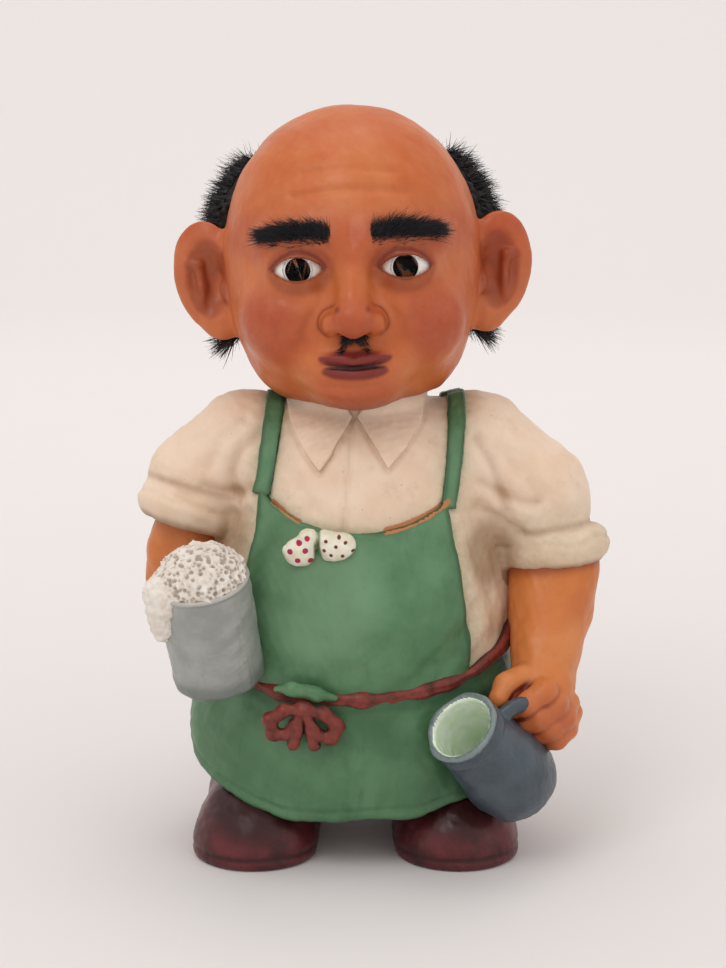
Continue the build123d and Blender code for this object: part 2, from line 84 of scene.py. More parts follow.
def blend_all(values, k):
    whole = values[0]
    for value in values[1:]:
        whole = smin(whole, value, k)
    return whole


def step(value, low, high):
    t = np.clip((value - low) / (high - low), 0, 1)
    return t * t * (3 - 2 * t)


def spot(distance, reach):
    """1 inside a shape, falling to 0 at reach outside it."""
    return 1 - step(distance, 0, reach)


def hump(distance, width):
    """1 at a distance of 0, falling smoothly over a width."""
    return np.exp(-(distance / width) ** 2)


def highest(*values):
    return np.maximum.reduce(np.broadcast_arrays(*values))


def ball(p, centre, radius):
    return length(p - vec(*centre)) - radius


def capsule(p, a, b, ra, rb=None):
    rb = ra if rb is None else rb
    a, b = vec(*a), vec(*b)
    d = b - a
    t = np.clip(((p - a) @ d) / (d @ d), 0, 1)
    return length(p - a - t[:, None] * d) - (ra + (rb - ra) * t)


def chain(p, points, radii, k=1.0):
    parts = [capsule(p, points[i], points[i + 1], radii[i], radii[i + 1]) for i in range(len(points) - 1)]
    return blend_all(parts, k)


def turned(p, centre, turn):
    """p in the frame of a shape at centre, turned about X, Y and Z in degrees."""
    q = p - vec(*centre)
    rx, ry, rz = (math.radians(t) for t in turn)
    mx = np.array([[1, 0, 0], [0, math.cos(rx), -math.sin(rx)], [0, math.sin(rx), math.cos(rx)]])
    my = np.array([[math.cos(ry), 0, math.sin(ry)], [0, 1, 0], [-math.sin(ry), 0, math.cos(ry)]])
    mz = np.array([[math.cos(rz), -math.sin(rz), 0], [math.sin(rz), math.cos(rz), 0], [0, 0, 1]])
    return q @ (mz @ my @ mx).astype(np.float32)


def ellipsoid(p, centre, radii, turn=(0, 0, 0)):
    q = turned(p, centre, turn)
    r = vec(*radii)
    near, slope = length(q / r), length(q / (r * r))
    return near * (near - 1) / np.maximum(slope, 1e-6)


def axial(p, centre, axis):
    """How far each point is along an axis through centre, and how far out from it."""
    n = vec(*axis) / np.linalg.norm(axis)
    q = p - vec(*centre)
    along = q @ n
    return along, length(q - along[:, None] * n)


def torus(p, centre, axis, ring, tube, squash=1.0):
    """A ring about an axis. squash above 1 makes its section taller along the axis."""
    along, out = axial(p, centre, axis)
    return np.hypot(out - ring, along / squash) - tube


def polyline(x, y, points, closed=False):
    """Distance in a plane to a line of points."""
    best = np.full(x.shape, 1e9, dtype=np.float32)
    ends = points[1:] + points[:1] if closed else points[1:]
    for (ax, ay), (bx, by) in zip(points, ends):
        dx, dy = bx - ax, by - ay
        t = np.clip(((x - ax) * dx + (y - ay) * dy) / (dx * dx + dy * dy), 0, 1)
        best = np.minimum(best, np.hypot(x - ax - t * dx, y - ay - t * dy))
    return best


def drawn(p, points):
    """Distance in front view to a line of points."""
    return polyline(p[:, 0], p[:, 2], points)


def polygon(x, y, points):
    """Signed distance in a plane, positive inside a polygon."""
    inside = np.zeros(x.shape, dtype=bool)
    for (ax, ay), (bx, by) in zip(points, points[1:] + points[:1]):
        if ay != by:
            cross = (ay > y) != (by > y)
            inside ^= cross & (x < (bx - ax) * (y - ay) / (by - ay) + ax)
    return np.where(inside, 1, -1) * polyline(x, y, points, True)


def smooth_line(points, count=10):
    """A Catmull-Rom curve through points, as a list."""
    pts = np.array([points[0]] + list(points) + [points[-1]], dtype=float)
    out = []
    for i in range(1, len(pts) - 2):
        p0, p1, p2, p3 = pts[i - 1:i + 3]
        for t in np.linspace(0, 1, count, endpoint=False):
            out.append(0.5 * (2 * p1 + (p2 - p0) * t + (2 * p0 - 5 * p1 + 4 * p2 - p3) * t * t
                              + (3 * p1 - p0 - 3 * p2 + p3) * t ** 3))
    out.append(pts[-2])
    return [tuple(q) for q in out]


def waves(p, scale, seed, count=14):
    """Smooth random unevenness between about -1 and 1, with lumps of about scale millimetres."""
    draw = np.random.default_rng(seed)
    total = np.zeros(len(p), dtype=np.float32)
    for _ in range(count):
        k = draw.normal(size=3)
        k *= draw.uniform(0.6, 1.5) * 2 * math.pi / (scale * np.linalg.norm(k))
        total += np.sin(p @ k.astype(np.float32) + np.float32(draw.uniform(0, 6.28)))
    return total / math.sqrt(count) / 1.2


# ---------------------------------------------------------------- meshes

def gradient(field, p, gap=0.15):
    here = []
    for axis in range(3):
        shift = np.zeros(3, dtype=np.float32)
        shift[axis] = gap
        here.append(field(p + shift) - field(p - shift))
    return np.stack(here, -1) / (2 * gap)


def grid_values(field, axes):
    """The field on a grid, slab by slab."""
    y, z = np.meshgrid(axes[1], axes[2], indexing="ij")
    values = np.empty((len(axes[0]), len(axes[1]), len(axes[2])), dtype=np.float32)
    slab = 12
    for start in range(0, len(axes[0]), slab):
        xs = axes[0][start:start + slab]
        p = np.empty((len(xs),) + y.shape + (3,), dtype=np.float32)
        p[..., 0], p[..., 1], p[..., 2] = xs[:, None, None], y, z
        values[start:start + slab] = field(p.reshape(-1, 3)).reshape(len(xs), *y.shape)
    return values


def surface(field, low, high, voxel):
    """Points, quads and outward normals of a field's zero surface."""
    size = voxel * COARSE
    axes = [np.arange(a, b + size, size, dtype=np.float32) for a, b in zip(low, high)]
    grid = openvdb.FloatGrid(3 * size)
    grid.copyFromArray(grid_values(field, axes))
    points, quads = grid.convertToQuads(0.0)
    p = (np.array(points) * size + np.array(low)).astype(np.float32)
    for _ in range(2):
        g = gradient(field, p)
        move = field(p)[:, None] * g / np.maximum((g * g).sum(-1, keepdims=True), 0.15)
        p = p - np.clip(move, -size, size)
    g = gradient(field, p)
    normals = g / np.maximum(length(g), 1e-6)[:, None]
    quads = np.array(quads)
    a, b, c = (p[quads[:, i]] for i in range(3))
    if (np.cross(b - a, c - a) * normals[quads[:, 0]]).sum() < 0:
        quads = quads[:, ::-1]
    return p, quads, normals


def lean(p):
    """The head's small roll about the neck."""
    q = p - PIVOT
    c, s = math.cos(HEAD_ROLL), math.sin(HEAD_ROLL)
    return np.stack([q[:, 0] * c + q[:, 2] * s, q[:, 1], -q[:, 0] * s + q[:, 2] * c], -1) + PIVOT


def make_object(name, p, faces, body, material, paint, smooth=True):
    """A mesh object from points in millimetres, with a float attribute for each mask in paint."""
    if body == "head":
        p = lean(p)
    mesh = bpy.data.meshes.new(name)
    mesh.from_pydata(((p + AXIS) / 1000).tolist(), [], np.asarray(faces).tolist())
    for key, values in paint.items():
        layer = mesh.attributes.new(key, "FLOAT", "POINT")
        layer.data.foreach_set("value", np.asarray(values, dtype=np.float32))
    mesh.materials.append(material)
    if smooth:
        mesh.polygons.foreach_set("use_smooth", [True] * len(mesh.polygons))
    obj = bpy.data.objects.new(name, mesh)
    bpy.context.scene.collection.objects.link(obj)
    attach(obj, body)
    return obj


def sculpt(name, field, low, high, voxel, body, material, relief, paint):
    """A mesh of a field, raised along its normals by relief and painted by masks."""
    p, quads, normals = surface(field, low, high, voxel)
    masks = paint(p, normals)
    p = p + normals * relief(p, normals)[:, None]
    return make_object(name, p, quads, body, material, masks)


def uneven(*layers):
    """A relief of plain unevenness. Each layer is (height, size of its lumps, seed)."""
    def relief(p, normals):
        return sum(height * waves(p, scale, seed) for height, scale, seed in layers)
    return relief


def facing(normals, side=-1):
    """1 where a surface faces the front, falling to 0 at the silhouette. side 1 is the back."""
    return np.clip(side * normals[:, 1] * 2.2, 0, 1)


def folds(p, normals, lines, side=-1):
    """Depth of every fold. Each is (points seen from the front, depth, width), negative depth for a ridge."""
    total = np.zeros(len(p), dtype=np.float32)
    for points, depth, width in lines:
        total -= 1.35 * depth * hump(drawn(p, smooth_line(points, 6)), 1.25 * width)
    return total * facing(normals, side)


def fold_shade(p, normals, lines, side=-1):
    """How dark the paint in and beside the folds is, from 0 to 1."""
    total = np.zeros(len(p), dtype=np.float32)
    for points, depth, width in lines:
        if depth > 0:
            total += min(depth, 1.6) * 0.3 * hump(drawn(p, smooth_line(points, 6)), 1.1 * width)
    return np.clip(total * facing(normals, side), 0, 1)


# ---------------------------------------------------------------- materials

class Paint:
    """A material and the short calls that build its nodes."""

    def __init__(self, name):
        self.material = bpy.data.materials.new(name)
        self.material.use_nodes = True
        self.tree = self.material.node_tree
        self.shader = self.tree.nodes["Principled BSDF"]
        self.coords = self.node("ShaderNodeTexCoord").outputs["Object"]

    def node(self, kind, **settings):
        made = self.tree.nodes.new(kind)
        for key, value in settings.items():
            setattr(made, key, value)
        return made

    def put(self, socket, value):
        if isinstance(value, bpy.types.NodeSocket):
            self.tree.links.new(value, socket)
        elif isinstance(value, (tuple, list)) and len(value) == 3 and len(socket.default_value) == 4:
            socket.default_value = (*value, 1)
        else:
            socket.default_value = value

    def mask(self, name):
        return self.node("ShaderNodeAttribute", attribute_name=name).outputs["Fac"]

    def noise(self, millimetres, detail=3.0, rough=0.55, stretch=None):
        made = self.node("ShaderNodeTexNoise")
        self.put(made.inputs["Scale"], 1000 / millimetres)
        self.put(made.inputs["Detail"], detail)
        self.put(made.inputs["Roughness"], rough)
        self.put(made.inputs["Vector"], self.stretched(stretch) if stretch else self.coords)
        return made.outputs["Fac"]

    def stretched(self, scale):
        made = self.node("ShaderNodeMapping")
        self.put(made.inputs["Vector"], self.coords)
        self.put(made.inputs["Scale"], scale)
        return made.outputs["Vector"]

    def cells(self, millimetres, feature="F1"):
        made = self.node("ShaderNodeTexVoronoi", feature=feature)
        self.put(made.inputs["Scale"], 1000 / millimetres)
        self.put(made.inputs["Vector"], self.coords)
        return made.outputs["Distance"]

    def math(self, kind, a, b=0.0):
        made = self.node("ShaderNodeMath", operation=kind)
        self.put(made.inputs[0], a)
        self.put(made.inputs[1], b)
        return made.outputs[0]

    def times(self, a, b):
        return self.math("MULTIPLY", a, b)

    def plus(self, a, b):
        return self.math("ADD", a, b)

    def patches(self, low, high, *noise):
        """Noise that goes from 0 at low to 1 at high."""
        return self.ramp(self.noise(*noise), low, high)

    def ramp(self, value, low, high, to_low=0.0, to_high=1.0):
        made = self.node("ShaderNodeMapRange", interpolation_type="SMOOTHSTEP")
        for key, number in zip(("Value", "From Min", "From Max", "To Min", "To Max"),
                               (value, low, high, to_low, to_high)):
            self.put(made.inputs[key], number)
        return made.outputs["Result"]

    def mix(self, factor, a, b):
        made = self.node("ShaderNodeMix", data_type="RGBA")
        self.put(made.inputs["Factor"], factor)
        self.put(made.inputs[6], a)
        self.put(made.inputs[7], b)
        return made.outputs[2]

    def edge(self, name, soft, ragged, grain=2.5):
        """A painted edge from a signed distance: 1 inside, soft and ragged in millimetres."""
        wobble = self.times(self.math("SUBTRACT", self.noise(grain, 4, 0.65), 0.5), 2 * ragged)
        return self.ramp(self.plus(self.mask(name), wobble), -soft, soft)

    def bump(self, height, strength, distance=0.0004, over=None):
        made = self.node("ShaderNodeBump")
        self.put(made.inputs["Strength"], strength)
        self.put(made.inputs["Distance"], distance)
        self.put(made.inputs["Height"], height)
        if over is not None:
            self.put(made.inputs["Normal"], over)
        return made.outputs["Normal"]

    def finish(self, colour, roughness, normal=None, **sockets):
        self.put(self.shader.inputs["Base Color"], colour)
        self.put(self.shader.inputs["Roughness"], roughness)
        if normal is not None:
            self.put(self.shader.inputs["Normal"], normal)
        for key, value in sockets.items():
            self.put(self.shader.inputs[key.replace("_", " ")], value)
        return self.material


CREAM, CREAM_WARM, CREAM_SHADE = (0.84, 0.66, 0.51), (0.77, 0.57, 0.41), (0.40, 0.22, 0.13)
GREEN, GREEN_DARK, GREEN_LIGHT = (0.075, 0.180, 0.082), (0.025, 0.080, 0.033), (0.120, 0.255, 0.130)
# GREEN_GLOW is the colour of a painted highlight; GREEN_DARK serves both for brush streaks and for painted
# shade
GREEN_GLOW = (0.175, 0.315, 0.180)
SKIN, SKIN_LIGHT, SKIN_SHADE = (0.52, 0.115, 0.026), (0.60, 0.180, 0.060), (0.18, 0.022, 0.011)
ARM, ARM_LIGHT = (0.58, 0.165, 0.035), (0.64, 0.225, 0.070)
BLUSH = (0.33, 0.036, 0.026)
BAND = (0.50, 0.19, 0.075)
BRICK, BRICK_DARK = (0.23, 0.040, 0.028), (0.060, 0.014, 0.010)
MAROON, MAROON_DARK = (0.130, 0.022, 0.026), (0.035, 0.009, 0.009)


def vinyl_surface(paint, colour, base_rough):
    """The common finish of the painted casting: brush mottling, specks of dirt, an orange-peel bump."""
    grime = paint.patches(0.55, 0.8, 9, 6, 0.7)
    colour = paint.mix(paint.times(grime, 0.22), colour, (0.16, 0.11, 0.07))
    specks = paint.ramp(paint.cells(7.5), 0.03, 0.055, 1.0, 0.0)
    colour = paint.mix(paint.times(specks, 0.35), colour, (0.10, 0.06, 0.04))
    rough = paint.ramp(paint.noise(14, 4), 0.3, 0.7, base_rough - 0.07, base_rough + 0.08)
    normal = paint.bump(paint.noise(1.6, 3, 0.6), 0.16)
    normal = paint.bump(paint.noise(7, 3), 0.25, 0.0008, normal)
    return paint.finish(colour, rough, normal, Specular_IOR_Level=0.3, Coat_Weight=0.05, Coat_Roughness=0.3)


def shirt_material():
    paint = Paint("vinyl_shirt")
    tint = paint.patches(0.35, 0.7, 22, 4)
    shirt = paint.mix(tint, CREAM, CREAM_WARM)
    shade = paint.ramp(paint.plus(paint.mask("shade"),
                                  paint.times(paint.noise(5, 5), 0.25)), 0.2, 1.15)
    shirt = paint.mix(shade, shirt, CREAM_SHADE)
    mist = paint.times(paint.mask("mist"), paint.ramp(paint.noise(4, 5, 0.7), 0.25, 0.75, 0.45, 1.0))
    shirt = paint.mix(mist, shirt, (0.20, 0.26, 0.12))
    colour = paint.mix(paint.edge("apron", 0.3, 0.55), shirt, apron_colour(paint))
    colour = paint.mix(paint.edge("band", 0.35, 0.7), colour, BAND)
    return vinyl_surface(paint, colour, 0.46)


def apron_colour(paint):
    blotch = paint.patches(0.3, 0.7, 26, 5, 0.6)
    apron = paint.mix(blotch, GREEN, GREEN_LIGHT)
    streak = paint.patches(0.5, 0.8, 6, 5, 0.65, (1.0, 1.0, 0.3))
    apron = paint.mix(paint.times(streak, 0.35), apron, GREEN_DARK)
    # painted highlight where deep is below zero, painted shade where it is above zero
    apron = paint.mix(paint.ramp(paint.mask("deep"), -1.1, -0.1, 0.6, 0.0), apron, GREEN_GLOW)
    return paint.mix(paint.ramp(paint.mask("deep"), 0.1, 1.1), apron, GREEN_DARK)


def skirt_material():
    paint = Paint("vinyl_apron")
    return vinyl_surface(paint, paint.mix(paint.edge("band", 0.35, 0.7), apron_colour(paint), BAND), 0.42)


def skin_material(name):
    paint = Paint(name)
    tone = paint.patches(0.3, 0.72, 24, 5, 0.6)
    colour = paint.mix(tone, ARM, ARM_LIGHT)
    airbrush = paint.times(paint.mask("blush"), paint.ramp(paint.noise(6, 5, 0.7), 0.2, 0.8, 0.65, 1.0))
    colour = paint.mix(airbrush, colour, BLUSH)
    shade = paint.ramp(paint.plus(paint.mask("shade"),
                                  paint.times(paint.noise(4, 5), 0.2)), 0.15, 1.1)
    colour = paint.mix(shade, colour, SKIN_SHADE)
    return vinyl_surface(paint, colour, 0.40)


def plain_vinyl(name, main, dark, rough, grain=12):
    """One painted colour with darker brushed patches and painted shade in the hollows."""
    paint = Paint(name)
    colour = paint.mix(paint.patches(0.35, 0.75, grain, 5, 0.65), main, dark)
    colour = paint.mix(paint.ramp(paint.mask("shade"), 0.15, 0.95), colour, dark)
    return vinyl_surface(paint, colour, rough)


# ---------------------------------------------------------------- body

TRUNK = [(8, 38, -34, 30), (17, 46, -42, 38), (30, 56, -50, 44), (48, 62, -55, 47), (68, 63, -57, 49),
         (95, 61.5, -59.5, 48), (110, 59, -58, 47), (125, 56, -54, 45), (150, 51, -46, 41),
         (165, 49, -37, 38), (173, 43, -30, 34), (179, 33, -24, 30), (184, 24, -18, 25)]
SKIRT = [(10, 62, -57, 42), (28, 67, -61, 48), (48, 69, -62, 50), (66, 66.5, -60, 50), (80, 64, -59, 49)]


def stack_table(table):
    """The ellipses at every millimetre of height on smooth curves."""
    rows = np.array(smooth_line(table, 12))
    heights = np.arange(table[0][0], table[-1][0] + 0.5, 1.0)
    return heights, [np.interp(heights, rows[:, 0], rows[:, i]) for i in (1, 2, 3)]


TRUNK_TABLE, SKIRT_TABLE = stack_table(TRUNK), stack_table(SKIRT)


def ellipse_stack(p, table, grow=0.0):
    """Distance to level ellipses stacked by height, without top or bottom."""
    heights, columns = table
    half, front, back = (np.interp(p[:, 2], heights, column).astype(np.float32) for column in columns)
    rx, ry = half + grow, (back - front) / 2 + grow
    qx, qy = p[:, 0] / rx, (p[:, 1] - (front + back) / 2) / ry
    near = np.hypot(qx, qy)
    slope = np.hypot(qx / rx, qy / ry)
    return near * (near - 1) / np.maximum(slope, 1e-6)


BIB_TOP = [(-38, 152), (-33, 147), (-22, 140.5), (-12, 138), (-3, 137), (8, 137), (18, 139), (27, 141.5),
           (36, 146)]
BIB = BIB_TOP + [(39, 132), (42, 115), (45, 95), (46, 60), (-55, 60), (-50, 95), (-44, 118), (-40, 135)]
STRAP_RIGHT = [(-41, 149), (-34, 149), (-31, 165), (-29, 178), (-28, 200), (-35, 200), (-36.5, 178),
               (-38.5, 163)]
STRAP_LEFT = [(34, 144), (40, 143), (42.5, 160), (44, 176), (44, 200), (37.5, 200), (37, 176), (36, 160)]
BACK_RIGHT = [(-36, 200), (-28, 200), (-18, 90), (-26, 90)]
BACK_LEFT = [(37, 200), (45, 200), (30, 90), (22, 90)]
LEAF_RIGHT = [(-1.5, 179), (-8, 190), (-30, 190), (-26, 176), (-20, 166), (-14.3, 159.5), (-9, 167),
              (-4.5, 174)]
LEAF_LEFT = [(0.5, 179), (8, 190), (30, 190), (26, 176), (19, 167), (12.8, 160.5), (8, 168), (4, 174)]

CHEST_FOLDS = [
    ([(-2, 178), (-2.5, 165), (-4, 150), (-5, 138)], 1.0, 1.0),
    ([(-5, 172), (-6.5, 160), (-7, 150)], 0.45, 0.9),
    ([(-27, 160), (-22, 152), (-16, 146)], 0.5, 2.2),
    ([(26, 163), (20, 154), (12, 149)], 0.45, 2.4),
    ([(33, 158), (28, 148), (22, 144)], 0.4, 1.8),
]
SLEEVE_FOLDS = [
    ([(-38, 172), (-45, 166), (-49, 157), (-48, 146)], 1.5, 2.0),
    ([(-45, 176), (-54, 168), (-58, 158)], 0.8, 2.2),
    ([(-42, 150), (-50, 147), (-60, 150)], 1.3, 2.0),
    ([(-43, 141), (-52, 139), (-64, 144), (-72, 150)], 1.1, 2.2),
    ([(-52, 176), (-64, 166), (-72, 154)], -0.6, 3.0),
    ([(48, 170), (54, 160), (58, 149), (60, 140)], 1.5, 2.2),
    ([(50, 152), (60, 146), (72, 143)], 1.2, 2.2),
    ([(49, 142), (57, 136), (66, 131)], 1.3, 2.2),
    ([(56, 166), (66, 156), (74, 145)], 0.7, 2.4),
    ([(62, 168), (76, 154), (85, 142)], -0.7, 3.2),
    ([(46, 128), (52, 120), (56, 108)], 1.2, 2.4),
    ([(50, 116), (55, 104), (57, 90)], 0.9, 2.2),
    ([(-46, 128), (-50, 116), (-53, 102)], 1.0, 2.2),
]
BELLY_FOLDS = [
    ([(-30, 84), (-22, 92), (-14, 97)], 0.5, 3.0),
    ([(20, 78), (30, 84), (40, 94)], 0.7, 3.0),
    ([(34, 80), (42, 90), (46, 104)], 0.6, 2.4),
    ([(-36, 140), (-32, 122), (-30, 106)], 0.4, 3.0),
    ([(30, 134), (27, 118), (28, 104)], 0.35, 3.4),
]
BACK_FOLDS = [
    ([(-20, 170), (-14, 150), (-12, 130)], 0.7, 3.0), ([(20, 168), (16, 150), (12, 132)], 0.7, 3.0),
    ([(-48, 160), (-42, 144), (-40, 128)], 1.2, 2.6), ([(52, 158), (46, 142), (44, 126)], 1.2, 2.6),
    ([(0, 165), (1, 140), (-1, 115)], 0.4, 3.5), ([(-60, 160), (-56, 148), (-60, 138)], 0.9, 2.4),
    ([(70, 152), (64, 142), (66, 132)], 0.9, 2.4),
]
CUFF_RIGHT = ((-66, -5, 137), (0.28, 0.15, 0.95), 16.0)
CUFF_LEFT = ((81, -4, 121), (-0.12, 0.1, 0.98), 15.5)


def shirt_field(p):
    trunk = ellipse_stack(p, TRUNK_TABLE)
    trunk = smax(trunk, p[:, 2] - 181, 5)
    right = capsule(p, (-44, 3, 158), (-63, -2, 147), 26.5, 22)
    right = smin(right, capsule(p, (-62, -2, 148), (-66, -5, 138), 21, 16), 5)
    left = capsule(p, (48, 3, 156), (72, 0, 140), 28, 24)
    left = smin(left, capsule(p, (70, -1, 142), (80, -4, 124), 22.5, 16), 5)
    left = smin(left, capsule(p, (50, 1, 134), (55, -3, 92), 14, 10), 7)
    yoke = capsule(p, (-34, 4, 158), (36, 4, 158), 20, 20)
    whole = smin(smin(smin(trunk, yoke, 8), right, 7), left, 7)
    collar = torus(p, (*NECK, 180.5), (0, 0.12, 1), 24.0, 3.4, 1.8)
    whole = smin(whole, collar, 2.5)
    around = np.hypot(p[:, 0] - NECK[0], p[:, 1] - NECK[1])
    whole = np.minimum(whole, np.maximum(around - 20.9, np.abs(p[:, 2] - 180) - 7.9))
    whole = np.maximum(whole, -np.maximum(around - 18.2, 176 - p[:, 2]))
    # each cuff is open underneath, round the arm
    for (centre, axis, ring), hole in ((CUFF_RIGHT, 13.5), (CUFF_LEFT, 14.0)):
        whole = smin(whole, torus(p, centre, axis, ring + 0.6, 6.6, 1.2), 1.6)
        along, out = axial(p, centre, axis)
        whole = smax(whole, -np.maximum(out - hole, along + 2), 1.0)
    # the shirt ends under the waist tie, and lower under the bib
    low_edge = np.where(p[:, 1] > -18, tie_height(p) - 5, 62)
    return np.maximum(whole, low_edge - p[:, 2])


def apron_distance(p):
    """Signed distance to the edge of bib and straps, positive on the cloth."""
    x, z = p[:, 0], p[:, 2]
    front = np.maximum(polygon(x, z, BIB), np.maximum(polygon(x, z, STRAP_RIGHT), polygon(x, z, STRAP_LEFT)))
    back = np.maximum(polygon(x, z, BACK_RIGHT), polygon(x, z, BACK_LEFT))
    body = (p[:, 1] < 4).astype(np.float32)
    on_sleeve = np.maximum(-x - 46, x - 50)
    d = front * body + back * (1 - body)
    return np.where(on_sleeve > 0, np.minimum(d, -on_sleeve), d)


def leaves_distance(p):
    d = np.maximum(polygon(p[:, 0], p[:, 2], LEAF_RIGHT), polygon(p[:, 0], p[:, 2], LEAF_LEFT))
    return np.where(p[:, 1] < -4, d, -9)


def shirt_relief(p, normals):
    total = folds(p, normals, CHEST_FOLDS + SLEEVE_FOLDS + BELLY_FOLDS) + folds(p, normals, BACK_FOLDS, 1)
    total -= 0.6 * hump(drawn(p, BIB_TOP), 1.6) * facing(normals)
    for centre, axis, ring in (CUFF_RIGHT, CUFF_LEFT):
        along, reach = axial(p, centre, axis)[0], ball(p, centre, ring)
        roll = 0.7 * hump(along - 2.5 + 1.5 * waves(p, 22, 5), 1.1)
        total -= roll * (reach < 12) * step(reach, 2, 4)
    return total + 0.35 * waves(p, 16, 1) + 0.14 * waves(p, 5, 2)


def panel(outline, rise, soft):
    """A layer of cloth on the shirt's front, inside an outline."""
    def field(p):
        shirt = shirt_field(p)
        layer = np.maximum(shirt - rise, -shirt - 1.2)
        return smax(layer, -outline(p), soft)
    return field


def nowhere(p):
    """A mask for an edge that the piece doesn't have."""
    return np.full(len(p), -9.0)


def shirt_paint(p, normals):
    front, apron = facing(normals), apron_distance(p)
    armpit = np.minimum(ball(p, (-45, -22, 130), 7), ball(p, (52, -22, 122), 9))
    shades = [
        fold_shade(p, normals, CHEST_FOLDS[:2] + SLEEVE_FOLDS),
        0.8 * fold_shade(p, normals, BACK_FOLDS, 1),
        0.4 * hump(leaves_distance(p) + 1.4, 1.5) * front,
        0.7 * spot(armpit, 12),
    ]
    for centre, axis, ring in (CUFF_RIGHT, CUFF_LEFT):
        along, reach = axial(p, centre, axis)[0], ball(p, centre, ring)
        shades += [0.55 * hump(along - 9, 2.2) * (reach < 13), 0.85 * step(-along, 3, 8) * (reach < 10)]
    side = (1 - step(np.abs(p[:, 2] - 100), 30, 48)) * step(np.abs(p[:, 0]), 36, 46)
    mist = 0.62 * np.exp(-np.maximum(-apron, 0) / 3.2) + 0.25 * side * (apron < 0)
    band = np.maximum(1.5 - drawn(p, [(12, 137.6), (20, 139.4), (28, 142), (36.5, 146.4)]),
                      0.9 - drawn(p, [(-33, 147), (-27, 143), (-22, 140.5)]))
    # deep is painted shade on the bib and straps: darker along their edges, in the belly folds, towards the
    # bottom and towards the sides
    deep = highest(
        0.75 * hump(apron, 2.0) + 0.5 * fold_shade(p, normals, BELLY_FOLDS),
        0.6 * (1 - step(p[:, 2], 68, 82)),
        0.5 * step(np.abs(p[:, 0]), 26, 46) * (p[:, 2] < 140),
    )
    # a painted highlight on the belly, taken off deep so that deep goes below zero there
    glow = 1.1 * spot(ellipsoid(p, (-16, -56, 114), (16, 12, 18)), 22)
    return {"apron": apron, "shade": highest(*shades), "mist": np.clip(mist, 0, 0.8),
            "band": np.where(front > 0.3, band, -5), "deep": deep - glow}


def bib_relief(p, normals):
    return folds(p, normals, BELLY_FOLDS) + 0.35 * waves(p, 16, 1) + 0.12 * waves(p, 5, 3)


def bib_paint(p, normals):
    masks = shirt_paint(p, normals)
    # deep carries the painted shade and painted highlight of the bib
    return {"deep": masks["deep"], "band": masks["band"] - 0.3}


def leaf_paint(p, normals):
    none = np.zeros(len(p))
    return {"apron": nowhere(p), "band": nowhere(p), "mist": none, "deep": none,
            "shade": 0.35 * hump(leaves_distance(p) + 0.3, 0.8)}


SKIRT_FOLDS = [
    ([(-12, 62), (-14, 48), (-18, 32)], 0.8, 3.2), ([(-30, 60), (-38, 46), (-44, 34)], 0.9, 3.4),
    ([(14, 60), (16, 44), (14, 30)], 0.7, 3.6), ([(30, 64), (36, 50), (38, 36)], 0.9, 3.2),
    ([(2, 58), (0, 44), (-2, 28)], -0.5, 4.0), ([(-50, 66), (-57, 54), (-60, 46)], 0.7, 3.0),
]
SKIRT_BACK = [([(-30, 88), (-34, 72), (-38, 58)], 1.0, 3.6), ([(-8, 92), (-10, 76), (-12, 62)], 0.8, 3.6),
              ([(14, 92), (16, 76), (18, 62)], 0.9, 3.4), ([(36, 86), (42, 70), (46, 56)], 1.0, 3.4)]
HEM_SLOPE, TIE_SLOPE = math.tan(math.radians(22)), math.tan(math.radians(20))


def hem_height(p):
    around = np.arctan2(p[:, 0], -p[:, 1])
    wave = 1.3 * np.sin(3.1 * around + 0.6) + 0.8 * np.sin(7.3 * around + 1.9)
    return 20.5 + (p[:, 1] + 58) * HEM_SLOPE + wave


def tie_height(p):
    return 68.5 + (p[:, 1] + 58) * TIE_SLOPE + 0.02 * p[:, 0]


def skirt_field(p):
    outer = smax(ellipse_stack(p, SKIRT_TABLE), p[:, 2] - tie_height(p) - 4.5, 4.0)
    inner = ellipse_stack(p, SKIRT_TABLE, -4.2)
    inner = np.maximum(inner, p[:, 2] - hem_height(p) - 9)
    hem = (hem_height(p) - p[:, 2]) * 0.9
    return smax(smax(outer, hem, 2.2), -inner, 1.5)


def skirt_relief(p, normals):
    total = folds(p, normals, SKIRT_FOLDS) + folds(p, normals, SKIRT_BACK, 1)
    total -= 0.8 * hump(p[:, 2] - hem_height(p) - 5.5, 0.9) * (length(p[:, :2]) > 50)
    return total + 0.5 * waves(p, 24, 11) + 0.14 * waves(p, 6, 12)


def skirt_paint(p, normals):
    # deep is painted shade on the skirt: in its folds, along the hem, just under the tie, beside the jug, and
    # a light shade over all of it
    deep = highest(
        0.8 * (fold_shade(p, normals, SKIRT_FOLDS) + fold_shade(p, normals, SKIRT_BACK, 1)),
        0.8 * spot(p[:, 2] - hem_height(p), 5),
        0.7 * step(p[:, 2] - tie_height(p), -7, 0),
        0.42 + 0.1 * waves(p, 30, 13),
        0.8 * spot(ellipsoid(p, (59, -37, 42), (22, 24, 26)), 9),
    )
    return {"deep": np.clip(deep, 0, 1), "band": nowhere(p)}


def tie_level(p):
    """Height above the middle of the tie."""
    return p[:, 2] - tie_height(p) - 3.4


def tie_field(p):
    thick = 2.3 + 0.5 * np.sin(p[:, 0] * 0.21 + 1) + 0.3 * np.sin(p[:, 0] * 0.53)
    return np.hypot(ellipse_stack(p, TRUNK_TABLE, 1.2), tie_level(p) / 1.15) - thick


def tie_relief(p, normals):
    groove = hump(tie_level(p) + 0.8 * np.sin(0.17 * p[:, 0]), 0.8) * (length(p[:, :2]) > 52)
    return 0.25 * waves(p, 15, 23) - 0.55 * groove


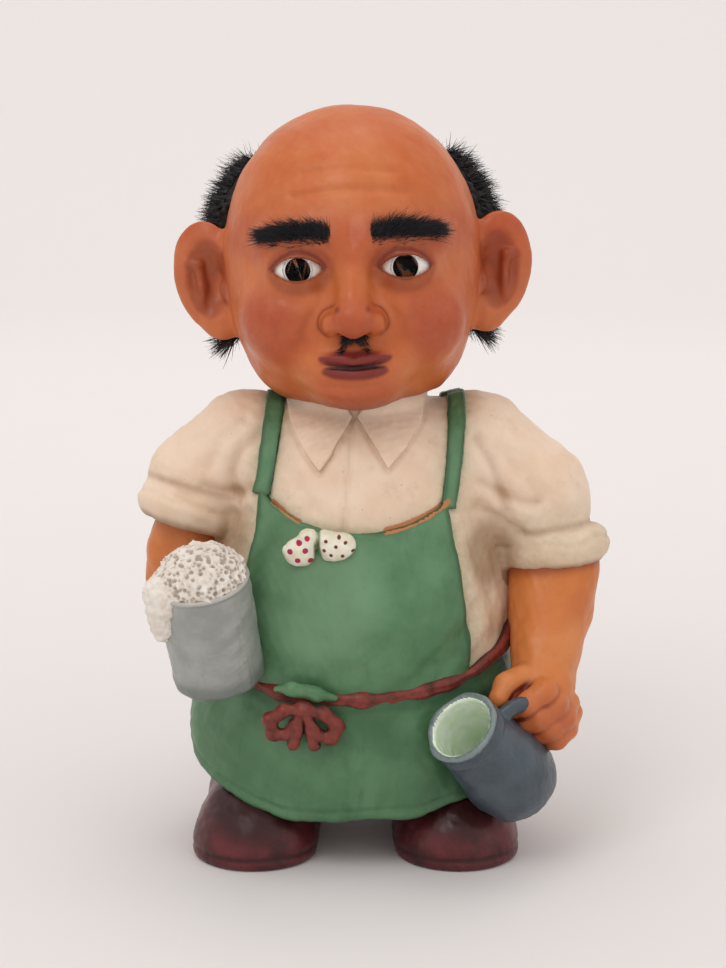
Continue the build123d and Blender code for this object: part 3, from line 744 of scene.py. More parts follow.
BOW_LOOPS = [
    [(-21, -65, 70), (-28, -65, 69.5), (-33.5, -63.5, 65.5), (-32.5, -63, 59.5), (-27, -64, 59.5),
     (-22, -65, 67)],
    [(-19.5, -65.5, 70), (-12.5, -66, 68.5), (-7.2, -65.5, 63.5), (-9.5, -65, 58), (-14.5, -65.5, 59.5),
     (-19, -66, 67)],
]
BOW_ENDS = [
    ([(-21, -64.5, 68), (-22.5, -65, 61), (-24.5, -64, 55.5)], [1.5, 2.1, 2.5]),
    ([(-19, -65, 68), (-17.5, -65.5, 60.5), (-16, -64.5, 55)], [1.5, 2.0, 2.4]),
]


def bow_field(p):
    knot = ellipsoid(p, (-20.5, -65, 70), (4.2, 3.8, 3.4))
    loops = [chain(p, loop, [1.8, 2.5, 2.9, 2.7, 2.3, 1.8], 1.4) for loop in BOW_LOOPS]
    ends = [chain(p, spine, radii) for spine, radii in BOW_ENDS]
    return blend_all([knot] + loops + ends, 0.7)


def flap_field(p):
    """The folded bit of apron above the bow."""
    spine = [(-31, -60.5, 77), (-25, -62.5, 77.5), (-15, -63, 75.5), (-8, -61.5, 73.5)]
    return chain(p, spine, [1.2, 2.7, 2.9, 1.2], 1.5)


def crevice_paint(field, amount=1.0, reach=2.0):
    """Painted shade in hollows: dark paint where the field's surface bends inwards."""
    def paint(p, normals):
        out = field(p + normals * reach)
        return {"shade": np.clip((reach - out) / reach * amount * 2.2, 0, 1)}
    return paint


def flap_paint(p, normals):
    # painted shade in the creases of the flap
    return {"deep": crevice_paint(flap_field, 0.9, 1.5)(p, normals)["shade"], "band": nowhere(p)}


KERCHIEF_DOTS = [(-25.5, 131, 1), (-22.5, 127.5, 1), (-19.5, 131.5, 1), (-22, 134.5, 1), (-17.5, 127.3, 1),
                 (-18.8, 136.4, 1), (-11.5, 135.5, 0), (-7.6, 133.5, 0), (-3.8, 135, 0), (-9.5, 130, 0),
                 (-5, 129.6, 0), (-1, 131.5, 0), (-12.2, 131.8, 0), (-6.4, 137, 0)]
KERCHIEF_SPLIT = [(-14.5, 139), (-14.8, 133), (-13.6, 127)]
KERCHIEF_CREASES = [[(-18, 138), (-21, 134), (-27, 133)], [(-12, 134), (-7, 135.5), (-2, 134)]]


def kerchief_field(p):
    left = blend_all([
        ellipsoid(p, (-22, -52.5, 130), (6.5, 4.6, 5.6), (0, 12, 0)),
        ellipsoid(p, (-18.5, -53, 135), (4.2, 4.2, 4.6), (0, 20, 0)),
    ], 2.0)
    right = blend_all([
        ellipsoid(p, (-7.5, -54, 132.5), (7.8, 4.8, 5.6), (0, -14, 0)),
        ellipsoid(p, (-12.5, -54, 136), (4.0, 4.0, 3.2), (0, 10, 0)),
    ], 2.5)
    return smin(left, right, 0.7)


def kerchief_relief(p, normals):
    total = 0.15 * waves(p, 4, 31) - 0.7 * hump(drawn(p, KERCHIEF_SPLIT), 0.9)
    for crease in KERCHIEF_CREASES:
        total -= 0.4 * hump(drawn(p, crease), 1.0)
    return total


def kerchief_paint(p, normals):
    dots = [nowhere(p), nowhere(p)]
    for x, z, kind in KERCHIEF_DOTS:
        dots[kind] = np.maximum(dots[kind], (0.75, 1.15)[kind] - np.hypot(p[:, 0] - x, p[:, 2] - z))
    rim = 1 - step(kerchief_field(p + normals * 2.0), 0.5, 1.9)
    shade = 0.8 * hump(drawn(p, KERCHIEF_SPLIT), 1.2) + 0.4 * rim + 0.7 * step(p[:, 1], -52, -49)
    return {"dark_dots": dots[0], "pink_dots": dots[1], "shade": np.clip(shade, 0, 1)}


def kerchief_material():
    paint = Paint("vinyl_kerchief")
    colour = paint.mix(paint.patches(0.35, 0.75, 5, 4), (0.86, 0.83, 0.70), (0.72, 0.68, 0.50))
    colour = paint.mix(paint.edge("pink_dots", 0.12, 0.16, 1.0), colour, (0.42, 0.02, 0.09))
    colour = paint.mix(paint.edge("dark_dots", 0.12, 0.14, 1.0), colour, (0.16, 0.02, 0.03))
    colour = paint.mix(paint.ramp(paint.mask("shade"), 0.2, 1.0), colour, (0.10, 0.16, 0.06))
    return vinyl_surface(paint, colour, 0.38)


# ---------------------------------------------------------------- arms, hands and shoes

def right_arm_field(p):
    arm = chain(p, [(-64, -3, 140), (-70, 2, 118), (-71, 2, 103), (-66, -14, 100), (-62, -25, 103)],
                [14.5, 15, 14.5, 12.5, 9.5], 6)
    palm = capsule(p, (-61, -31, 102), (-60, -32, 111), 10.5, 10.5)
    whole = smin(arm, palm, 5)
    for z in (97.5, 104, 110.5, 116.5):
        finger = chain(p, [(-66, -30, z + 1), (-61, -39.5, z), (-54, -41, z - 0.5), (-49.5, -37, z - 0.5)],
                       [4.0, 3.9, 3.5, 3.0], 1.5)
        whole = smin(whole, finger, 1.3)
    return whole


def left_arm_field(p):
    arm = chain(p, [(79, -2, 130), (81, -6, 112), (79.5, -14, 97), (76.5, -27, 83), (74.5, -37, 73)],
                [17, 17.2, 15.8, 12.8, 11.0], 7)
    p = p + vec(0, 12, -2.5)
    palm = blend_all([capsule(p, (75, -27, 68), (75, -30, 61), 12.8, 12), ball(p, (67.5, -29, 66), 9.5)], 4)
    whole = smin(arm, palm, 5)
    for knuckle, tip in (
        ((74, -39.5, 70), (59.5, -38.5, 61.5)),
        ((79, -38.5, 64), (65, -40, 56)),
        ((82, -36.5, 58.5), (70.5, -38.5, 51.5)),
        ((83, -33, 53.5), (75.5, -35, 48.5)),
    ):
        start, end = vec(*knuckle), vec(*tip)
        back, middle = start + vec(3, 9, 4), 0.55 * start + 0.45 * end + vec(0, -3.2, 0)
        finger = chain(p, [tuple(back), knuckle, tuple(middle), tip], [5.0, 5.2, 4.9, 3.9], 1.8)
        whole = smin(whole, finger, 0.9)
    thumb = chain(p, [(66, -32, 74), (59.5, -37.5, 72.5), (56.5, -41.5, 68.5)], [5.4, 4.9, 4.0], 1.5)
    return smin(whole, thumb, 1.4)


def limb_paint(field, cuff, tips):
    """Painted shade in the creases and under a cuff, and red about the finger tips."""
    def paint(p, normals):
        shade = crevice_paint(field, 0.85, 1.8)(p, normals)["shade"]
        along = axial(p, *cuff[:2])[0]
        blush = 0.5 * spot(ball(p, tips, 8), 16) + 0.18 * step(waves(p, 30, 41), 0.1, 1.0)
        return {"shade": np.maximum(shade, 0.75 * step(along, -14, -4)), "blush": blush}
    return paint


def shoe_field(p, side):
    q = p * vec(side, 1, 1)
    sole = capsule(q, (36, 10, 7), (41, -33, 4), 21.5, 25.2)
    instep = capsule(q, (38, 2, 18), (40, -24, 10), 20, 21)
    ankle = capsule(q, (38, 3, 14), (37, 3, 36), 20.5, 22)
    whole = smin(smin(sole, instep, 8), ankle, 8)
    return smax(whole, -q[:, 2], 1.6)


def legs_field(p):
    trousers = smax(ellipse_stack(p, TRUNK_TABLE), 14 - p[:, 2], 7)
    notch = ellipsoid(p, (0, -42, 8), (10, 40, 17))
    trousers = smax(trousers, -notch, 6)
    # they end just above the skirt's hem, out of sight
    trousers = smax(trousers, p[:, 2] - np.minimum(92 + p[:, 1] * 0.3, hem_height(p) + 5), 1.5)
    whole = smin(trousers, np.minimum(shoe_field(p, -1), shoe_field(p, 1)), 2.4)
    return np.maximum(whole, -p[:, 2])


SHOE_FOLDS = [
    ([(-62, 33), (-54, 29.5), (-44, 29), (-34, 31)], 0.9, 1.3),
    ([(60, 32), (50, 28.5), (40, 28.5), (30, 31)], 0.9, 1.3),
    ([(-66, 22), (-58, 25), (-50, 24)], 0.6, 1.6), ([(66, 22), (58, 25), (52, 24)], 0.6, 1.6),
]


def legs_relief(p, normals):
    total = folds(p, normals, SHOE_FOLDS)
    welt = hump(p[:, 2] - 4.6, 0.8) * (p[:, 2] > 1.5)
    return (total - 0.55 * welt + 0.35 * waves(p, 18, 51) + 0.1 * waves(p, 5, 52)) * step(p[:, 2], 0.2, 2)


def legs_paint(p, normals):
    shade = highest(
        fold_shade(p, normals, SHOE_FOLDS),
        0.9 * hump(p[:, 2] - 4.6, 1.2),
        0.85 * step(p[:, 2] - hem_height(p), -16, -2),
    )
    return {"shade": np.clip(shade, 0, 1)}


# ---------------------------------------------------------------- vessels

def vessel_frame(foot, up):
    """A vessel's own frame: its foot, and its three axes as columns."""
    up = np.array(up) / np.linalg.norm(up)
    across = np.cross([0, 0, 1], up)
    across /= np.linalg.norm(across)
    axes = np.stack([across, np.cross(up, across), up], -1)
    return vec(*foot), axes.astype(np.float32)


STEIN = vessel_frame((-54, -53, 83), (-0.13, -0.30, 0.94))
JUG = vessel_frame((67, -44, 31), (-0.52, -0.53, 0.67))


def local(p, place):
    return (p - place[0]) @ place[1]


def dents(q, places):
    """Dents and swellings of a thin wall, each (centre, depth, width)."""
    return sum(depth * hump(length(q - vec(*centre)), width) for centre, depth, width in places)


def ring_handle(q, turn, radius, middle):
    a = math.radians(turn)
    centre = (-math.sin(a) * radius, math.cos(a) * radius, middle)
    axis = (math.cos(a), math.sin(a), 0)
    core = np.hypot(q[:, 0], q[:, 1]) - radius + 1.5
    return np.maximum(torus(q, centre, axis, 11.0, 3.0), -core)


def stein_field(p):
    q = local(p, STEIN)
    across = np.hypot(q[:, 0], q[:, 1])
    middle = q[:, 2] - 18.9
    side = across - 18.3 + 0.25 * np.cos((q[:, 2] - 4) * 0.13)
    body = smax(side, np.abs(middle) - 23.1, 3.4 if COARSE == 1 else 4.0)
    lip = np.sqrt((across - 17.6) ** 2 + (q[:, 2] - 41.4) ** 2) - 1.15
    whole = smin(body, lip, 0.8)
    whole = smin(whole, ring_handle(q, 35, 18.5, 22), 1.5)
    room = smax(across - 16.3, 33 - q[:, 2], 1.5)
    return smax(whole, -room, 0.7)


def stein_relief(p, normals):
    q = local(p, STEIN)
    dent = dents(q, [((2, -18, 24), -0.5, 8), ((-12, -14, 12), -0.4, 7)])
    return dent + 0.22 * waves(p, 10, 61) + 0.06 * waves(p, 3, 62)


def vessel_paint(place, height):
    def paint(p, normals):
        q = local(p, place)
        rim = hump(q[:, 2] - height, 1.3)
        foot = 1 - step(q[:, 2], 0, 5)
        inside = (np.hypot(q[:, 0], q[:, 1]) < JUG_MOUTH - 1.6) & (q[:, 2] > 5)
        # depth drives painted shade deeper inside the jug
        return {"rim": rim, "foot": foot, "inside": np.where(inside, 2.0, -2.0),
                "depth": 1 - step(q[:, 2], 10, height - 2)}
    return paint


JUG_MOUTH = 14.5
JUG_PROFILE = np.array(smooth_line([(9.5, -3.4), (14.2, -1.4), (17.2, 4), (18.5, 13), (18.0, 22), (16.4, 30),
                                    (15.0, 38), (14.4, 44), (14.6, 50.4)], 8))


def jug_field(p):
    q = local(p, JUG)
    across = np.hypot(q[:, 0], q[:, 1])
    radius = np.interp(q[:, 2], JUG_PROFILE[:, 1], JUG_PROFILE[:, 0]).astype(np.float32)
    body = smax(smax((across - radius) * 0.95, q[:, 2] - 49.6, 1.4), -3 - q[:, 2], 4.5)
    lip = np.sqrt((across - 13.9) ** 2 + ((q[:, 2] - 48.9) / 1.1) ** 2) - 1.5
    ridge = np.sqrt((across - 14.2) ** 2 + ((q[:, 2] - 43.6) / 1.2) ** 2) - 1.1
    whole = smin(smin(body, lip, 0.8), ridge, 1.2)
    whole = smin(whole, ring_handle(q, -20, 15, 26), 1.6)
    room = smax(across - 12.2, 7 - q[:, 2], 5)
    return smax(whole, -room, 0.9)


def jug_relief(p, normals):
    q = local(p, JUG)
    inner = (np.hypot(q[:, 0], q[:, 1]) < 12.6) & (q[:, 2] > 5)
    dent = dents(q, [((-6, -17, 24), -0.6, 7), ((12, -12, 10), 0.4, 8)])
    return np.where(inner, 0.08 * waves(p, 5, 71), dent + 0.3 * waves(p, 12, 72) + 0.07 * waves(p, 3, 73))


def stein_material():
    paint = Paint("mug_paint")
    colour = paint.mix(paint.patches(0.3, 0.7, 16, 5, 0.6), (0.29, 0.305, 0.285), (0.39, 0.40, 0.375))
    streak = paint.patches(0.52, 0.8, 5, 5, 0.7, (1, 1, 0.25))
    colour = paint.mix(paint.times(streak, 0.4), colour, (0.16, 0.185, 0.165))
    worn = paint.ramp(paint.plus(paint.mask("rim"), paint.times(paint.noise(2.2, 5, 0.7), 0.7)), 0.95, 1.25)
    colour = paint.mix(worn, colour, (0.48, 0.46, 0.42))
    foot = paint.times(paint.mask("foot"), 0.6)
    colour = paint.mix(foot, colour, (0.10, 0.13, 0.11))
    rough = paint.ramp(paint.noise(9, 4), 0.3, 0.7, 0.36, 0.5)
    normal = paint.bump(paint.noise(2.0, 4, 0.65), 0.22)
    return paint.finish(colour, rough, normal, Metallic=0.25, Coat_Weight=0.1, Coat_Roughness=0.3)


def jug_material():
    paint = Paint("jug_paint")
    colour = paint.mix(paint.patches(0.3, 0.72, 15, 5, 0.6), (0.034, 0.054, 0.070), (0.060, 0.085, 0.105))
    streak = paint.patches(0.55, 0.8, 4.5, 5, 0.7, (1, 0.4, 0.4))
    colour = paint.mix(paint.times(streak, 0.5), colour, (0.025, 0.040, 0.052))
    worn = paint.ramp(paint.plus(paint.mask("rim"), paint.times(paint.noise(2.0, 5, 0.7), 0.7)), 0.95, 1.3)
    colour = paint.mix(paint.times(worn, 0.7), colour, (0.24, 0.30, 0.28))
    glaze = paint.mix(paint.patches(0.3, 0.7, 6, 4), (0.74, 0.88, 0.66), (0.88, 0.94, 0.84))
    # painted shade: the glaze darker deeper inside the jug
    glaze = paint.mix(paint.ramp(paint.mask("depth"), 0.3, 0.9, 0.0, 0.25), glaze, (0.30, 0.50, 0.28))
    inside = paint.edge("inside", 0.4, 0.5, 1.5)
    colour = paint.mix(inside, colour, glaze)
    rough = paint.ramp(inside, 0, 1, 0.40, 0.16)
    normal = paint.bump(paint.noise(2.2, 4, 0.65), 0.22)
    return paint.finish(colour, rough, normal, Coat_Weight=0.2, Coat_Roughness=0.22)


# the froth that has run over the rim, as (centre, radii) of its lumps
FROTH_RUN = [
    ((-11, -11.5, 42), (8, 7.5, 6)), ((-12, -13, 33), (6, 5.4, 8.5)), ((-12.8, -13.4, 25.5), (4.4, 4.0, 5)),
    ((-9.5, -15, 38), (6, 5, 6)), ((-11, -14.5, 31), (4.5, 4.2, 6)), ((-17.5, -3.5, 38), (3.4, 4, 5.5)),
]


def froth_base(p):
    q = local(p, STEIN)
    dome = ellipsoid(q, (0, 0, 42.2), (17.7, 17.7, 12.2))
    dome = smax(dome, 41.0 - q[:, 2], 1.0)
    root = np.maximum(np.hypot(q[:, 0], q[:, 1]) - 16.0, np.abs(q[:, 2] - 38.5) - 4)
    run = blend_all([ellipsoid(q, centre, radii) for centre, radii in FROTH_RUN], 3.0)
    return smin(smin(dome, root, 1), run, 2.5)


DOME_PITS, RUN_PITS = 640, 200


def pit_centres():
    """Where bubbles burst: points scattered over the froth, each with a radius."""
    draw = np.random.default_rng(12)
    spots = []
    while len(spots) < DOME_PITS:
        d = draw.normal(size=3)
        d /= np.linalg.norm(d)
        q = vec(0, 0, 42.2) + vec(*(d * np.array([17.7, 17.7, 12.2])))
        if q[2] > 41:
            spots.append((*q, draw.uniform(0.35, 1.05)))
    for _ in range(RUN_PITS):
        z = draw.uniform(22, 44)
        a = draw.uniform(0, 2 * math.pi)
        r = 4.6 + 0.15 * (z - 30)
        spots.append((-15 + r * math.cos(a), -10.2 + r * math.sin(a), z, draw.uniform(0.35, 0.9)))
    return np.array(spots, dtype=np.float32)


PITS = pit_centres()


def pit_depth(q):
    """How deep in a pit each point is, and how near its rim."""
    deep, rim = np.zeros(len(q), dtype=np.float32), np.zeros(len(q), dtype=np.float32)
    for x, y, z, radius in PITS:
        d = length(q - vec(x, y, z)) / radius
        deep = np.maximum(deep, np.exp(-d ** 4) * min(1.0, radius))
        rim = np.maximum(rim, hump(d - 1.25, 0.28))
    return deep, rim


def froth_relief(p, normals):
    deep, rim = pit_depth(local(p, STEIN))
    return -0.95 * deep + 0.25 * rim + 0.5 * waves(p, 5, 81) + 0.22 * waves(p, 1.9, 82)


def froth_paint(p, normals):
    # pit carries painted shade into the pits
    return {"pit": pit_depth(local(p, STEIN))[0]}


def froth_material():
    paint = Paint("froth")
    colour = paint.mix(paint.patches(0.3, 0.7, 6, 5, 0.6), (0.74, 0.66, 0.57), (0.84, 0.79, 0.72))
    # painted shade in the pits
    colour = paint.mix(paint.ramp(paint.mask("pit"), 0.15, 0.9), colour, (0.40, 0.33, 0.27))
    specks = paint.patches(0.55, 0.75, 1.2, 4, 0.7)
    colour = paint.mix(paint.times(specks, 0.35), colour, (0.30, 0.25, 0.21))
    return paint.finish(colour, 0.55, paint.bump(paint.noise(0.7, 4, 0.7), 0.5, 0.0003))


# ---------------------------------------------------------------- head

HEAD_BOTTOM, HEAD_TOP, HALF_WIDTH = 181.0, 300.0, 51.5
EYE_LINE = (HEAD_BOTTOM + HEAD_TOP) / 2
THIRD = (HEAD_TOP - HEAD_BOTTOM) * 7 / 8 / 3
NOSE_BASE = HEAD_BOTTOM + THIRD
BROW_LINE = NOSE_BASE + THIRD
MOUTH_LINE = NOSE_BASE - THIRD / 3
EYE_X, EYE_Y, EYEBALL = HALF_WIDTH * 2 / 5, -38.5, 12.0
CHIN_ARC, CHEEK_ARC, TEMPLE_ARC, CROWN_ARC = 30.0, 110.0, 70.0, 48.0


def egg_arcs():
    """The egg's outline as arcs: (centre x, centre z, radius, from angle, to angle)."""
    drop = EYE_LINE - HEAD_BOTTOM - CHIN_ARC
    reach = math.sqrt((CHEEK_ARC - CHIN_ARC) ** 2 - drop ** 2)
    rise = HEAD_TOP - EYE_LINE - CROWN_ARC
    top = math.sqrt((TEMPLE_ARC - CROWN_ARC) ** 2 - rise ** 2)
    low, high = -math.atan2(drop, reach), math.atan2(rise, top)
    cheek, temple = HALF_WIDTH - CHEEK_ARC, HALF_WIDTH - TEMPLE_ARC
    return [(cheek + reach, -drop, CHIN_ARC, -math.pi, low), (cheek, 0, CHEEK_ARC, low, 0),
            (temple, 0, TEMPLE_ARC, 0, high), (temple + top, rise, CROWN_ARC, high, math.pi)]


EGG = egg_arcs()
EAR = ((58, 3, EYE_LINE - 9), (0, 0, 14))
EAR_BOWL = ((-0.5, -6.8, 1.5), (9.2, 6.4, 16.5))
NOSTRIL = ((4.2, -57.5, NOSE_BASE - 0.8), (2.4, 3.6, 2.6), (25, 0, 0))


def egg(p, grow=0.0):
    """Exact distance to the head's plain egg."""
    x, z = np.hypot(p[:, 0], p[:, 1]), p[:, 2] - EYE_LINE
    d = np.full(len(p), 1e9, dtype=np.float32)
    for cx, cz, radius, low, high in EGG:
        angle = np.arctan2(z - cz, x - cx)
        here = (angle >= low) & (angle < high)
        d = np.where(here, np.hypot(x - cx, z - cz) - radius, d)
    d = np.where(x < EGG[0][0], np.where(z < 0, -z - (EYE_LINE - HEAD_BOTTOM), d), d)
    return (d - grow).astype(np.float32)


def mirrored(p):
    """The same point on the +X side, so that one shape serves both sides of the face."""
    return np.stack([np.abs(p[:, 0]), p[:, 1], p[:, 2]], -1)


def almond(q):
    """Signed distance to the gap between the lids, in front view."""
    x, z = q[:, 0] - EYE_X, q[:, 2] - EYE_LINE
    half, up, down = 9.6, 4.7, 3.7
    ru, rd = (half ** 2 + up ** 2) / (2 * up), (half ** 2 + down ** 2) / (2 * down)
    return np.maximum(np.hypot(x, z - up + ru) - ru, np.hypot(x, z + down - rd) - rd)


def ear_field(q):
    """An ear on the +X side that stands out and faces forwards."""
    e = turned(q, *EAR)
    tilt = math.radians(-8)
    u = e[:, 0] * math.cos(tilt) + e[:, 2] * math.sin(tilt)
    w = -e[:, 0] * math.sin(tilt) + e[:, 2] * math.cos(tilt)
    e = np.stack([u, e[:, 1], w], -1)
    blade = ellipsoid(e, (0, 0, 1.5), (14.5, 5.2, 22.5))
    lobe = ellipsoid(e, (-3, -0.5, -18), (7.5, 4.6, 7))
    whole = smin(blade, lobe, 4)
    whole = smax(whole, -ellipsoid(e, *EAR_BOWL), 2.2)
    ridge = [(7.2, -2.6, 9), (2.8, -2.2, 7), (2.2, -2.4, -2), (4.5, -2.2, -10)]
    whole = smin(whole, chain(e, ridge, [1.6, 1.9, 1.9, 1.4], 2), 2.4)
    conch = ellipsoid(e, (-3.8, -5.2, -2), (4.8, 6.2, 7.5))
    whole = smax(whole, -conch, 2)
    tragus = ellipsoid(e, (-8.2, -4.6, -4.5), (3.2, 3.4, 4.6))
    return smin(whole, tragus, 2.2)


def head_field(p):
    q = mirrored(p)
    whole = egg(p)
    whole = smin(whole, capsule(q, (7, -47, BROW_LINE), (31, -38, BROW_LINE - 0.5), 5.5, 5.0), 9)
    whole = smin(whole, ball(q, (27, -34.5, EYE_LINE - 22), 16), 13)
    whole = smin(whole, ellipsoid(p, (0, -38, HEAD_BOTTOM + 14), (17, 15, 11)), 10)
    whole = smax(whole, -ellipsoid(q, (EYE_X, -54, EYE_LINE - 1), (13.5, 6.0, 9)), 7)
    # nose
    whole = smin(whole, capsule(p, (0, -50.5, EYE_LINE + 4), (0, -57, NOSE_BASE + 8), 4.2, 6.4), 7)
    whole = smin(whole, ellipsoid(p, (0, -58, NOSE_BASE + 6.5), (7.8, 7.6, 6.8)), 4)
    whole = smin(whole, ellipsoid(q, (8.2, -53, NOSE_BASE + 4.8), (4.8, 6.6, 4.8)), 2.6)
    whole = smax(whole, -ellipsoid(q, *NOSTRIL), 1.4)
    # mouth
    muzzle = ellipsoid(p, (0, -42, MOUTH_LINE), (20, 11.5, 12))
    whole = smin(whole, muzzle, 8)
    r = p.copy()
    r[:, 2] += 0.6 * hump(p[:, 0], 3.0) - 0.0072 * p[:, 0] ** 2
    whole = smin(whole, ellipsoid(r, (0, -51.5, MOUTH_LINE + 2.2), (13.5, 4.6, 2.7)), 1.8)
    whole = smin(whole, ellipsoid(r, (0, -50.8, MOUTH_LINE - 2.6), (12, 5.0, 3.2)), 1.8)
    # lids over the eyeball
    lid = ball(q, (EYE_X, EYE_Y, EYE_LINE), EYEBALL + 1.9)
    whole = smin(whole, lid, 3.5)
    gap = np.maximum(almond(q), q[:, 1] + 40)
    whole = smax(whole, -gap, 1.1)
    whole = np.maximum(whole, -ball(q, (EYE_X, EYE_Y, EYE_LINE), EYEBALL + 0.12))
    whole = smin(whole, ear_field(q), 3.5)
    # the hollow the neck stands in
    reach = np.hypot(p[:, 0] - NECK[0], p[:, 1] - NECK[1])
    cone = reach - (33.5 - (p[:, 2] - 176) * 4.5 / 33.6)
    recess = np.maximum(cone, p[:, 2] - 209.6)
    return smax(whole, -recess, 2.2)


FACE_LINES = [
    ([(11, 232), (14, 226), (17.5, 220), (19, 213)], 0.7, 1.8),
    ([(-11, 232), (-14, 226), (-17.5, 220), (-19, 213)], 0.7, 1.8),
    ([(-22, 268), (-8, 270), (8, 270), (22, 268)], 0.5, 1.3),
    ([(-18, 276), (-6, 277.5), (6, 277.5), (18, 276)], 0.4, 1.3),
    ([(0, 213.5), (0, 208.5)], 0.5, 1.3),
    ([(-13, 203.6), (-6, 203.4), (0, 203.0), (6, 203.4), (13, 203.6)], 1.0, 0.8),
    ([(-9, 195.5), (0, 194.6), (9, 195.5)], 0.6, 1.8),
]


def lid_line(q):
    """Distance to the crease above the upper lid."""
    x, z = q[:, 0] - EYE_X, q[:, 2] - EYE_LINE
    half, up = 11.0, 7.4
    r = (half ** 2 + up ** 2) / (2 * up)
    return np.where(np.abs(x) < half + 1, np.abs(np.hypot(x, z - up + r) - r), 9) + 9 * (z < 0)


def head_relief(p, normals):
    q = mirrored(p)
    total = folds(p, normals, FACE_LINES)
    total -= 0.7 * hump(lid_line(q), 0.8) * facing(normals)
    return total + 0.3 * waves(p, 22, 91) + 0.07 * waves(p, 5, 92)


def head_paint(p, normals):
    q, front = mirrored(p), facing(normals)
    wing = [(6, NOSE_BASE + 11), (11.5, NOSE_BASE + 8.5), (13, NOSE_BASE + 3), (10, NOSE_BASE)]
    shade = highest(
        0.8 * fold_shade(p, normals, FACE_LINES[:4]),
        0.85 * hump(lid_line(q), 1.3) * front,
        0.5 * (1 - step(ellipsoid(q, (EYE_X, -50, EYE_LINE), (13, 8, 9)), -1, 4)) * front,
        0.95 * (1 - step(almond(q), 0.2, 1.8)) * front * (p[:, 1] < -36),
        1 - step(ellipsoid(q, *NOSTRIL), -0.2, 1.2),
        0.7 * hump(drawn(q, smooth_line(wing, 5)), 1.5) * front,
        0.5 * spot(ellipsoid(turned(q, *EAR), *EAR_BOWL), 2.2),
        0.55 * (1 - step(p[:, 2], 183, 196)),
    )
    blush = highest(
        0.95 * spot(ball(q, (29, -40, EYE_LINE - 21), 6), 15),
        0.6 * spot(ball(p, (0, -60, NOSE_BASE + 6), 4), 9),
        0.45 * (1 - step(np.abs(p[:, 2] - BROW_LINE - 2), 3, 14)) * front,
        0.4 * spot(ball(q, (62, -6, EYE_LINE - 8), 10), 14),
        0.5 * spot(ball(p, (0, -44, HEAD_BOTTOM + 12), 8), 14),
    )
    lips = np.minimum(ellipsoid(p, (0, -50.8, MOUTH_LINE - 2.6), (13, 7.0, 4.0)),
                      ellipsoid(p, (0, -51.5, MOUTH_LINE + 2.2), (14.3, 6.6, 3.4)))
    mouth = drawn(p, [(-12.5, 203.7), (-6, 203.4), (0, 203.0), (6, 203.4), (12.5, 203.7)])
    return {"shade": np.clip(shade, 0, 1), "blush": np.clip(blush, 0, 1), "lips": -lips, "mouth": 1.1 - mouth}


def head_material():
    paint = Paint("vinyl_head")
    tone = paint.patches(0.3, 0.72, 26, 5, 0.6)
    colour = paint.mix(tone, SKIN, SKIN_LIGHT)
    airbrush = paint.times(paint.mask("blush"), paint.ramp(paint.noise(7, 5, 0.7), 0.2, 0.8, 0.6, 1.0))
    colour = paint.mix(airbrush, colour, BLUSH)
    shade = paint.ramp(paint.plus(paint.mask("shade"), paint.times(paint.noise(4, 5), 0.2)), 0.15, 1.1)
    colour = paint.mix(shade, colour, SKIN_SHADE)
    colour = paint.mix(paint.edge("lips", 0.8, 0.3, 2), colour, (0.22, 0.030, 0.022))
    gap = paint.times(paint.edge("mouth", 0.5, 0.2, 2), paint.edge("lips", 0.8, 0.1, 2))
    colour = paint.mix(gap, colour, (0.035, 0.006, 0.005))
    return vinyl_surface(paint, colour, 0.40)


# ---------------------------------------------------------------- fur

def egg_radius(z):
    """The plain egg's radius at each height."""
    out = np.zeros_like(z)
    for cx, cz, radius, low, high in EGG:
        dz = z - EYE_LINE - cz
        angle = np.arcsin(np.clip(dz / radius, -1, 1))
        here = (angle >= low) & (angle < high)
        out = np.where(here, cx + radius * np.cos(angle), out)
    return out


def ribbons(roots, paths, widths):
    """Thin tapered strips. paths is (count, points, 3) of offsets from each root."""
    count, points = paths.shape[:2]
    spine = roots[:, None, :] + paths
    along = spine[:, 1] - spine[:, 0]
    side = np.cross(along, rng.normal(size=(count, 3)))
    side /= np.linalg.norm(side, axis=1, keepdims=True) + 1e-9
    taper = np.linspace(1, 0.12, points)[None, :, None]
    half = side[:, None, :] * widths[:, None, None] * taper / 2
    verts = np.stack([spine - half, spine + half], 2).reshape(-1, 3)
    base = (np.arange(count) * points * 2)[:, None]
    quads = []
    for i in range(points - 1):
        a = base + 2 * i
        quads.append(np.concatenate([a, a + 1, a + 3, a + 2], 1))
    return verts, np.concatenate(quads)


def fur(name, roots, normals, comb, pile, width, wild, curl):
    """Hairs from roots on the head, leaning from the surface normal towards comb and bending as they go."""
    count, points = len(roots), 4
    direction = normals * 0.75 + comb + rng.normal(size=(count, 3)) * wild
    direction /= np.linalg.norm(direction, axis=1, keepdims=True)
    reach = pile * rng.uniform(0.72, 1.08, count)
    bend = comb * 0.6 + np.array([0, 0, -curl]) + rng.normal(size=(count, 3)) * wild * 0.6
    t = np.linspace(0, 1, points)[None, :, None]
    paths = (direction[:, None, :] * t + bend[:, None, :] * t ** 2 * 0.5) * reach[:, None, None]
    verts, quads = ribbons(roots, paths, width * rng.uniform(0.7, 1.3, count))
    root_dark = np.tile(np.repeat(np.linspace(0, 1, points), 2), count)
    hair = make_object(name, verts, quads, "head", FUR, {"tip": root_dark}, False)
    return hair


def fur_material():
    paint = Paint("fur")
    colour = paint.mix(paint.patches(0.3, 0.7, 3, 4), (0.0045, 0.0045, 0.006), (0.012, 0.012, 0.016))
    colour = paint.mix(paint.ramp(paint.mask("tip"), 0.3, 1.0), colour, (0.016, 0.017, 0.022))
    return paint.finish(colour, 0.62, None, Sheen_Weight=0.05, Sheen_Roughness=0.4)


